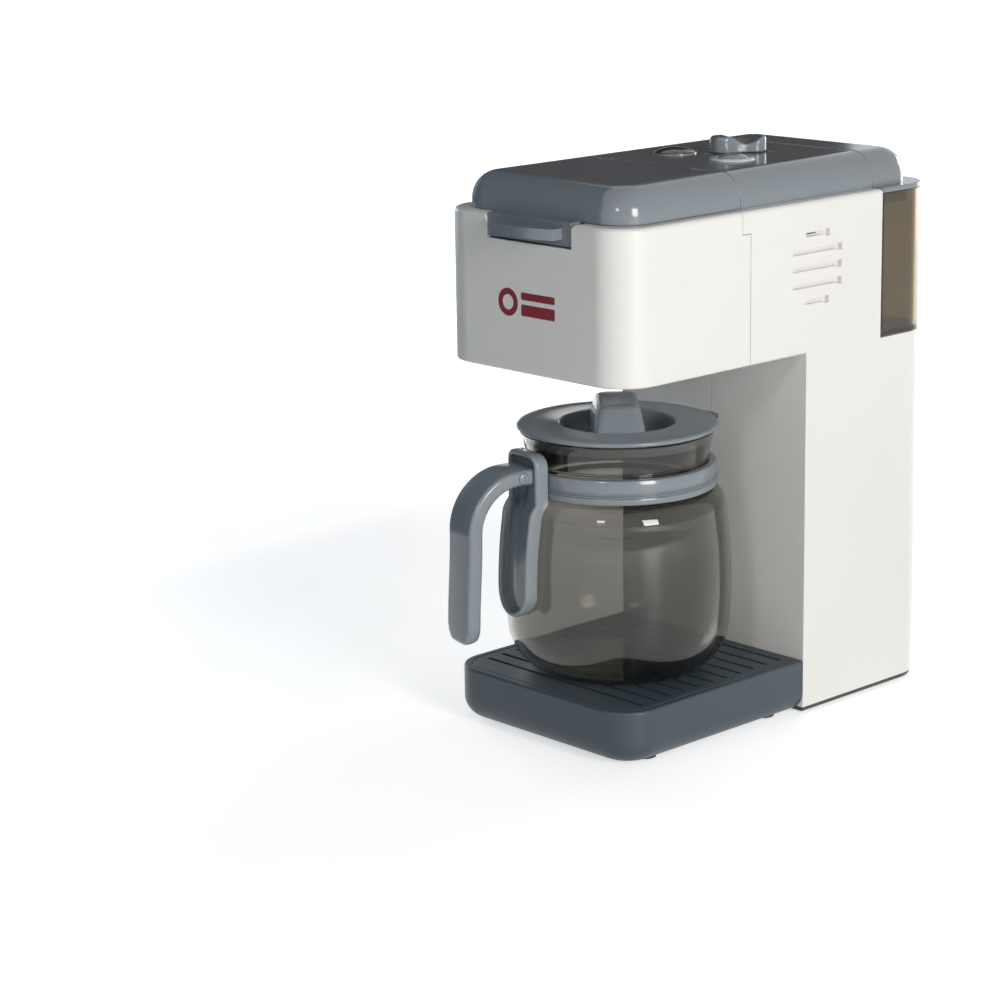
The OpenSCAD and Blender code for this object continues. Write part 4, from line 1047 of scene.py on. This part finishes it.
@dataclass
class Carafe:
    """The jug with its band, strap, handle and twist lid."""

    shop: Workshop
    handle: Axis = Axis(0.0, JUG_Y, JUG_Z, -102.0)
    spout: Axis = Axis(0.0, JUG_Y, JUG_Z, 78.0)
    grip: Axis = Axis(0.0, JUG_Y, JUG_Z, -42.0)
    jug_r: float = 46.8
    belly_h: float = 69.0
    belly_mid: float = 38.0
    belly_taper: float = 2.3
    foot_in: float = 18.4
    foot_rise: float = 22.0
    foot_taper: float = 0.6
    shoulder_h: float = 8.6
    neck_r: float = 36.8
    neck_h: float = 23.7
    neck_flare: float = 2.9
    neck_ring: float = 11.6
    beak_out: float = 8.9
    beak_h: float = 12.6
    beak_half: float = 21.0
    wall: float = 1.8
    strap_out: float = 41.4
    strap_low: float = 29.0
    strap_half: float = 11.0
    strap_corner: float = 5.0
    strap_floor: float = 2.3
    strap_crest: float = 6.0
    handle_reach: float = 75.6
    handle_t: float = 6.2
    handle_w: float = 17.4
    arm_h: float = 88.0
    handle_low: float = 21.0
    pin_out: float = 9.0
    bend: float = 24.0
    lid_t: float = 2.0
    well_r: float = 23.5
    well_d: float = 8.0
    grip_h: float = 9.6
    grip_w: float = 21.0
    grip_round: float = 2.6
    grip_corner: float = 3.4

    @property
    def neck_low(self) -> float:
        """Height of the neck's lower end above the jug's foot."""
        return self.belly_h + self.shoulder_h

    @property
    def rim_z(self) -> float:
        """Height of the jug's rim above its foot."""
        return self.neck_low + self.neck_h

    def radius(self, h: float, deep: float = 0.0) -> float:
        """Radius of the jug.

        Args:
            h: Height above its foot.
            deep: How far the surface lies under the outside.

        Returns:
            The radius of that surface.
        """
        if h < self.foot_rise:
            turn = min(1.0, (self.foot_rise - h) / (self.foot_rise - deep))
            return (self.jug_r - self.foot_taper - self.foot_in
                    + (self.foot_in - deep) * math.sqrt(1 - turn**2))
        if h < self.belly_h:
            part = (h - self.belly_mid) / (self.belly_h - self.belly_mid)
            return self.jug_r - deep - self.belly_taper * part**2
        if h < self.neck_low:
            turn = min(1.0, (h - self.belly_h) / (self.shoulder_h - deep))
            wide = self.jug_r - self.belly_taper - self.neck_r
            return self.neck_r - deep + wide * math.sqrt(1 - turn**2)
        part = (h - self.neck_low) / self.neck_h
        return self.neck_r - deep + self.neck_flare * part**2

    def side(self, deep: float) -> Line:
        """Points up the jug's side, close together where it turns fast.

        Args:
            deep: How far the surface lies under the outside.

        Returns:
            Points of (radius, height).
        """
        heights = [self.foot_rise - (self.foot_rise - deep) * math.cos(math.radians(a))
                   for a in range(0, 91, 5)]
        heights += [self.foot_rise + (self.belly_h - self.foot_rise) * k / 16
                    for k in range(1, 16)]
        heights += [self.belly_h + (self.shoulder_h - deep) * math.sin(math.radians(a))
                    for a in range(0, 91, 6)]
        heights += [self.neck_low + self.neck_h * k / 10 for k in range(1, 10)]
        return [(self.radius(h, deep), h) for h in heights]

    def ringed_side(self) -> Line:
        """The outer side with a fine raised ring on the neck, just over the band.

        Returns:
            Points of (radius, height).
        """
        low = self.neck_low + self.neck_ring
        ring = [(self.radius(low + up) + out, low + up)
                for up, out in ((-0.3, 0.0), (-0.1, 0.3), (0.3, 0.42), (0.7, 0.3), (0.9, 0.0))]
        side = [p for p in self.side(0) if not low - 0.4 < p[1] < low + 1.0]
        return sorted(side + ring, key=lambda p: p[1])

    def beak(self, r: float, h: float, deg: float) -> float:
        """How far the pouring beak pushes the rim outwards.

        Args:
            r: Radius of the point.
            h: Its height.
            deg: Its angle from the beak's middle.

        Returns:
            The distance outwards.
        """
        rise = smoothstep(self.rim_z - self.beak_h, self.rim_z, h)
        off = math.radians(min(90.0, abs(deg) * 90 / self.beak_half))
        window = max(0.0, math.cos(off))
        return self.beak_out * rise * window**1.6 * smoothstep(30, 36, r)

    def build(self) -> None:
        """Builds and delivers each piece of the jug."""
        self.shop.deliver(self.glass(), "carafe", "smoke_jug", "carafe_jug")
        for piece, node in ((self.band(), "carafe_band"), (self.strap(), "carafe_strap"),
                            (self.bar(), "carafe_handle"), (self.rivet(), "handle_pin")):
            self.shop.deliver(piece, "carafe", "grey_abs", node)
        self.shop.deliver(self.lid(), "carafe_lid", "grey_abs", "carafe_lid")

    def glass(self) -> Piece:
        """Revolves the jug with its real wall, a foot ring, a rolled rim and a beak.

        Returns:
            The jug.
        """
        top = self.rim_z
        outer = self.neck_r + self.neck_flare
        foot = [(0.0, 0.9), (14, 0.9), (23.6, 0.9), (24.6, 0.5), (25.6, 0.05), (26.6, 0.0)]
        rim = [(-0.1, 1.6), (0.25, 1.1), (0.3, 0.5), (0.0, 0.08), (-0.9, 0.0), (-1.6, 0.15),
               (-1.85, 0.7)]
        profile = foot + self.ringed_side() + [(outer + out, top - down) for out, down in rim]
        profile += self.side(self.wall)[::-1]
        profile += [(14, self.wall + 0.9), (0.0, self.wall + 0.9)]
        return self.spout.revolve("jug_body", profile, 160, closed=False, push=self.beak)

    def band(self) -> Piece:
        """Revolves the neck band: a lower lip, two thin beads and a smooth upper face.

        Returns:
            The band.
        """
        low = self.neck_low + 0.3
        r = self.neck_r + 3.8
        outside = [
            (-1.2, 0.15), (-0.5, 0.0), (0.05, 0.25), (0.25, 0.8), (0.35, 2.4), (0.2, 2.7),
            (-0.1, 2.8), (-0.1, 3.0), (0.3, 3.1), (0.5, 3.4), (0.3, 3.7), (-0.1, 3.8),
            (-0.1, 4.0), (0.3, 4.1), (0.45, 4.35), (0.3, 4.6), (-0.1, 4.7), (-0.05, 5.0),
            (0.05, 7.0), (-0.05, 9.4), (-0.35, 10.0), (-0.9, 10.2),
        ]
        inside = [(0.95, 10.2), (0.7, 9.9), (0.5, 6.0)]
        profile = [(self.neck_r + 0.4, low + 2.0)]
        profile += [(r + out, low + up) for out, up in outside]
        profile += [(self.neck_r + out, low + up) for out, up in inside]
        return self.handle.revolve("neck_band", profile, 160)

    def strap_radius(self, h: float) -> float:
        """Radius of the strap's inner face: on the belly, then straight up past the band."""
        return max(self.radius(min(h, self.belly_h + 7)) + 0.3, self.strap_out)

    def strap_line(self, inset: float) -> Line:
        """Outline of the strap from outside: a round lower end and two smaller top corners.

        Args:
            inset: How far it is drawn in.

        Returns:
            Points of (across, height).
        """
        half = self.strap_half - inset
        start = self.strap_low + inset + half
        half = max(half, 0.06)
        corner = min(max(0.05, self.strap_corner - inset), half - 0.01)
        high = self.rim_z - 4.4 - inset - corner
        steps = [start + (high - start) * k / 40 for k in range(1, 40)]
        line = arc(0, start, half, 180, 360, 20) + [(half, h) for h in steps]
        line += arc(half - corner, high, corner, 0, 90, 6)
        line += arc(corner - half, high, corner, 90, 180, 6)
        return line + [(-half, h) for h in reversed(steps)]

    def strap(self) -> Piece:
        """Builds the strap: a channel on the jug with a rounded raised rim all round.

        Returns:
            The strap.
        """
        floor, crest = self.strap_floor, self.strap_crest
        steps = [
            (10.9, 0.35), (5.0, 0.35), (0.5, 0.3), (0.0, 0.8), (0.0, 3.0), (0.0, crest - 1.0),
            (0.12, crest - 0.5), (0.45, crest - 0.14), (1.0, crest), (1.55, crest - 0.14),
            (1.88, crest - 0.5), (2.0, crest - 1.0), (2.05, 3.2), (2.2, 2.6), (2.7, floor),
            (5.0, floor), (10.9, floor),
        ]
        rings = []
        for inset, depth in steps:
            ring = []
            for across, h in self.strap_line(inset):
                out = self.strap_radius(h) + depth - 0.3
                along = math.sqrt(max(1.0, out * out - across * across))
                ring.append(self.handle.place(along, across, h))
            rings.append(ring)
        return make_mesh("handle_strap", loft(rings), 50)

    def bar_path(self) -> list[tuple[float, float, float, float]]:
        """Middle line of the handle.

        Returns:
            Points of (along, up, direction, distance to the free end).
        """
        mid = self.handle_t / 2
        reach = self.handle_reach - mid
        r = self.bend - mid
        inner = self.strap_out + 2.2
        line = [(inner + (reach - r - inner) * k / 8, self.arm_h, 0.0) for k in range(8)]
        for k in range(19):
            a = math.radians(90 - 5 * k)
            line.append((reach - r + r * math.cos(a), self.arm_h - r + r * math.sin(a),
                         -5.0 * k))
        end = self.handle_low + 0.1
        start = self.arm_h - r
        count = 46
        for k in range(1, count + 1):
            h = start - (start - end) * (1 - (1 - k / count) ** 1.6)
            lean = 1.6 * smoothstep(start, self.handle_low + 6, h) if h < start else 0
            line.append((reach + lean, h, -90.0))
        return [(a, h, d, h - end if d == -90.0 else 99.0) for a, h, d in line]

    def bar(self) -> Piece:
        """Sweeps the handle: a flat bar with soft edges, bent round, with a half disc's end.

        Returns:
            The handle.
        """
        full = self.handle_w / 2
        rings = []
        for along, up, direction, left in self.bar_path():
            end = min(1.0, max(0.0, left) / full)
            half_w = max(0.4, full * math.sqrt(max(0.0, 1 - (1 - end) ** 2)))
            thin = min(1.0, max(0.25, math.sqrt(min(1.0, max(0.0, left) / 2.2))))
            half_t = self.handle_t / 2 * thin
            a = math.radians(direction)
            ring = []
            for across, off in rounded_rectangle(half_w, half_t, min(1.5, half_t * 0.6), 5):
                # The outer face is slightly crowned
                off += 0.35 * max(0.0, 1 - (across / full) ** 2) if off > 0 else 0
                ring.append(self.handle.place(along - math.sin(a) * off, across,
                                              up + math.cos(a) * off))
            rings.append(ring)
        return make_mesh("jug_handle", loft(rings), 50)

    def rivet(self) -> Piece:
        """Builds the pin across the arm, with a low domed head and a dimple at each end.

        Returns:
            The pin.
        """
        reach = self.handle_w / 2
        side = [(0.0, reach + 0.25), (0.7, reach + 0.3), (1.0, reach + 0.75),
                (1.6, reach + 0.8), (2.2, reach + 0.45), (2.35, reach + 0.05), (1.48, reach)]
        angles = [2 * math.pi * k / 32 for k in range(32)]
        rings = []
        for r, h in side + [(r, -h) for r, h in reversed(side)]:
            rings.append([self.handle.place(self.strap_out + self.pin_out + r * math.cos(a), h,
                                            self.arm_h + r * math.sin(a)) for a in angles])
        return make_mesh("handle_rivet", loft(rings, caps=False))

    def lid(self) -> Piece:
        """Builds the twist lid: disc, well, plug ring and the tapered grip across the well.

        Returns:
            The lid.
        """
        low = self.rim_z + 0.3
        top = low + self.lid_t
        rim = self.neck_r + self.neck_flare + 1.5
        plug = self.neck_r + self.neck_flare - self.wall - 1.4
        floor = top - self.well_d
        well = self.well_r
        profile = [
            (0.0, floor), (well - 2.2, floor), (well - 0.8, floor + 0.4),
            (well - 0.2, floor + 1.4), (well, floor + 3), (well, top - 0.9),
            (well + 0.25, top - 0.1), (well + 0.8, top + 0.25), (well + 1.5, top + 0.15),
            (well + 2.4, top - 0.1), (rim - 3, top - 0.05), (rim - 1.4, top),
            (rim - 0.5, top - 0.15), (rim - 0.05, top - 0.6), (rim, top - 1.0),
            (rim - 0.05, low + 0.6), (rim - 0.5, low + 0.1), (rim - 1.2, low),
            (plug + 0.02, low), (plug, low - 4.6), (plug - 0.4, low - 5), (plug - 1.2, low - 5),
            (plug - 1.6, low - 4.6), (plug - 1.6, low), (well + 1.6, low),
            (well + 1.6, floor - 1.2), (well + 1.2, floor - 1.6), (0.0, floor - 1.6),
        ]
        disc = self.spout.revolve("jug_lid", profile, 160, closed=False)
        self.add_grip(disc, floor, top)
        return disc

    def add_grip(self, disc: Piece, floor: float, top: float) -> None:
        """Joins the grip to the lid's mesh: long round-cornered rings that shrink upwards.

        Args:
            disc: The lid's disc, which takes the new faces.
            floor: Height of the well's floor.
            top: Height of the disc's top.
        """
        crest = top + self.grip_h
        sizes = []
        for z, lean in ((floor - 0.8, 0.0), (top - 3.0, 0.0), (top - 0.6, 0.04),
                        (top + 1.5, 0.22), (top + 3.5, 0.42), (top + 5.5, 0.62),
                        (crest - self.grip_round, 0.8)):
            sizes.append((z, self.well_r - 0.3 - 8.6 * lean, self.grip_w / 2 - 2.2 * lean))
        z, half_l, half_w = sizes[-1]
        for a in (20, 40, 60, 75, 88):
            s, c = math.sin(math.radians(a)), math.cos(math.radians(a))
            sizes.append((z + self.grip_round * s, half_l - 3.4 * (1 - c),
                          half_w - self.grip_round * (1 - c)))
        sizes.append((crest + 0.05, half_l - 7, 2.2))
        rings = [[self.grip.place(a, b, z)
                  for a, b in rounded_rectangle(half_l, half_w, self.grip_corner)]
                 for z, half_l, half_w in sizes]
        grip = make_mesh("grip_form", loft(rings), 50)
        join = bmesh.new()
        join.from_mesh(disc.data)
        join.from_mesh(grip.data)
        join.to_mesh(disc.data)
        join.free()
        bpy.data.objects.remove(grip)


# ------------------------------------------------------------------ studio


def seen_rays(tree: Tree) -> Socket:
    """Gives 1 for rays from the eye, from gloss and through clear plastic, else 0.

    Args:
        tree: The tree to add to.

    Returns:
        The share.
    """
    path = add_node(tree, "ShaderNodeLightPath").outputs
    both = add_node(tree, "ShaderNodeMath", {"operation": "MAXIMUM"},
                    {0: path["Is Camera Ray"], 1: path["Is Transmission Ray"]})
    return add_node(tree, "ShaderNodeMath", {"operation": "MAXIMUM"},
                    {0: both.outputs[0], 1: path["Is Glossy Ray"]}).outputs[0]


def lay_sheet(name: str, corners: Sequence[Point], material: Material) -> Piece:
    """Lays one flat sheet of the set.

    Args:
        name: Name of the sheet.
        corners: Its four corners in metres.
        material: Its material.

    Returns:
        The sheet.
    """
    mesh = bpy.data.meshes.new(name)
    mesh.from_pydata(corners, [], [(0, 1, 2, 3)])
    mesh.materials.append(material)
    sheet = bpy.data.objects.new(name, mesh)
    bpy.context.scene.collection.objects.link(sheet)
    return sheet


@dataclass(frozen=True)
class SoftBox:
    """One lamp: its place, width and height in metres, its watts and its colour."""

    name: str
    place: Point
    size: tuple[float, float]
    watts: float
    colour: str

    def hang(self, aim: Point) -> None:
        """Hangs the lamp.

        Args:
            aim: The point that it faces.
        """
        data = bpy.data.lights.new(self.name, "AREA")
        data.shape = "RECTANGLE"
        data.size, data.size_y = self.size
        data.energy = self.watts
        data.color = linear(self.colour)[:3]
        lamp = bpy.data.objects.new(self.name, data)
        turn = (Vector(self.place) - Vector(aim)).to_track_quat("Z", "Y")
        lamp.matrix_world = Matrix.Translation(self.place) @ turn.to_matrix().to_4x4()
        bpy.context.scene.collection.objects.link(lamp)


@dataclass
class Studio:
    """Camera, soft light, floor and backdrop."""

    focal_px: float = 2792.23
    azimuth: float = 47.17
    elevation: float = 14.24
    roll: float = -0.95
    shift_x: float = 85.44
    shift_y: float = 34.24
    distance: float = 1176.83
    pivot: Point = (0.0, 20.8, 120.0)
    aim: Point = (0.0, 0.0, 0.12)
    sensor_mm: float = 36.0
    frame_px: float = 1000.0
    room_light: float = 0.13
    dim: tuple[float, float] = (0.3, 0.57)
    bright: tuple[float, float] = (0.9, 0.85)
    far: float = 25.0
    card_away: float = 0.75

    # A strong box on the right, a small one in front and fills for the far sides
    LAMPS = (
        SoftBox("key_box", (1.5, -0.3, 0.52), (0.45, 0.7), 15, "#fffefc"),
        SoftBox("small_box", (0.62, -1.3, 0.8), (0.22, 0.28), 2.6, "#ffffff"),
        SoftBox("left_fill", (-1.7, 0.35, 0.35), (0.7, 0.7), 12, "#f4f8ff"),
        SoftBox("back_fill", (-0.1, 1.85, 0.35), (0.7, 0.7), 13, "#fffefc"),
    )

    def build(self) -> None:
        """Sets up everything round the object."""
        self.camera()
        self.world()
        self.floor()
        for lamp in self.LAMPS:
            lamp.hang(self.aim)
        self.cards()
        bpy.context.scene.view_settings.view_transform = "Standard"

    def camera(self) -> None:
        """Places the camera from its turn about the pivot and its distance."""
        az, el, roll = (math.radians(a) for a in (self.azimuth, self.elevation, self.roll))
        back = Vector((math.sin(az) * math.cos(el), -math.cos(az) * math.cos(el), math.sin(el)))
        right = Vector((math.cos(az), math.sin(az), 0.0))
        up = back.cross(right)
        c, s = math.cos(roll), math.sin(roll)
        right, up = c * right + s * up, -s * right + c * up
        turn = Matrix((right, up, back))
        away = Vector((self.shift_x, self.shift_y, -self.distance))
        place = Vector(self.pivot) - turn.transposed() @ away
        data = bpy.data.cameras.new("camera")
        data.sensor_width = self.sensor_mm
        data.lens = self.focal_px * self.sensor_mm / self.frame_px
        data.clip_start, data.clip_end = 0.05, 60
        camera = bpy.data.objects.new("camera", data)
        camera.matrix_world = Matrix.Translation(place * MM) @ turn.transposed().to_4x4()
        bpy.context.scene.collection.objects.link(camera)
        bpy.context.scene.camera = camera

    def world(self) -> None:
        """White to the eye, in gloss and through clear plastic; a dim grey for the light."""
        world = bpy.data.worlds.new("world")
        bpy.context.scene.world = world
        world.use_nodes = True
        tree = world.node_tree
        tree.nodes.clear()
        shown = add_node(tree, "ShaderNodeBackground", None,
                         {"Color": linear("#ffffff"), "Strength": 1.0})
        room = add_node(tree, "ShaderNodeBackground", None,
                        {"Color": linear("#eef1f5"), "Strength": self.room_light})
        both = add_node(tree, "ShaderNodeMixShader", None,
                        {0: seen_rays(tree), 1: room.outputs[0], 2: shown.outputs[0]})
        add_node(tree, "ShaderNodeOutputWorld", None, {0: both.outputs[0]})

    def floor(self) -> None:
        """Lays a wide pale floor with a faint mirror image.

        It glows weakly round the object, so that its shadow stays, and strongly far off, where
        no lamp is: dim and bright give a distance in metres and the strength there.
        """
        material, tree, place = start_material("studio floor, pale laminate")
        away = add_node(tree, "ShaderNodeVectorMath", {"operation": "LENGTH"}, {0: place})
        share = add_node(tree, "ShaderNodeMapRange", None,
                         {"Value": away.outputs["Value"],
                          "From Min": self.dim[0], "From Max": self.bright[0],
                          "To Min": self.dim[1], "To Max": self.bright[1]})
        glow = add_node(tree, "ShaderNodeMath", {"operation": "MULTIPLY"},
                        {0: seen_rays(tree), 1: share.outputs["Result"]})
        shader = add_node(tree, "ShaderNodeBsdfPrincipled", None, {
            "Base Color": linear("#f4f4f4"),
            "Roughness": patches(tree, place, 60, 2, (0.3, 0.7), (0.5, 0.6)),
            "Emission Color": linear("#ffffff"), "Emission Strength": glow.outputs[0],
        })
        add_node(tree, "ShaderNodeOutputMaterial", None, {"Surface": shader.outputs["BSDF"]})
        lay_sheet("floor", [(x * self.far, y * self.far, 0)
                            for x, y in ((-1, -1), (1, -1), (1, 1), (-1, 1))], material)

    def card(self, name: str, colour: str, corners: Sequence[Point]) -> Piece:
        """Stands one matt card beside the set, which the eye and clear plastic don't see.

        Args:
            name: Name of the card.
            colour: Its colour in hex.
            corners: Its four corners in metres.

        Returns:
            The card.
        """
        material, tree, _ = start_material(name)
        shader = add_node(tree, "ShaderNodeBsdfPrincipled", None,
                          {"Base Color": linear(colour), "Roughness": 0.9})
        add_node(tree, "ShaderNodeOutputMaterial", None, {"Surface": shader.outputs["BSDF"]})
        card = lay_sheet(name, corners, material)
        card.visible_camera = card.visible_shadow = card.visible_transmission = False
        return card

    def cards(self) -> None:
        """Stands a dark card far behind and a blue one on the left.

        The first keeps the grey tops deep, and the second takes light off the front.
        """
        az = math.radians(self.azimuth)
        away = Vector((-math.sin(az), math.cos(az), 0.0)) * self.card_away
        side = Vector((math.cos(az), math.sin(az), 0.0))
        behind = [tuple(away + side * s + Vector((0, 0, z)))
                  for s, z in ((-0.8, 0.25), (0.17, 0.25), (0.17, 0.75), (-0.8, 0.75))]
        self.card("dark_card", "#3a2f28", behind).visible_diffuse = False
        left = [(-0.34, y, z)
                for y, z in ((-0.75, 0.01), (0.15, 0.01), (0.15, 0.65), (-0.75, 0.65))]
        self.card("blue_card", "#4a6274", left)


def main() -> None:
    """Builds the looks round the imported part."""
    logging.basicConfig(level=logging.INFO, format="%(name)s: %(message)s")
    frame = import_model()
    shop = Workshop(frame)
    Machine(shop).build()
    Controls(shop).build()
    Carafe(shop).build()
    Studio().build()


if __name__ == "__main__":
    main()
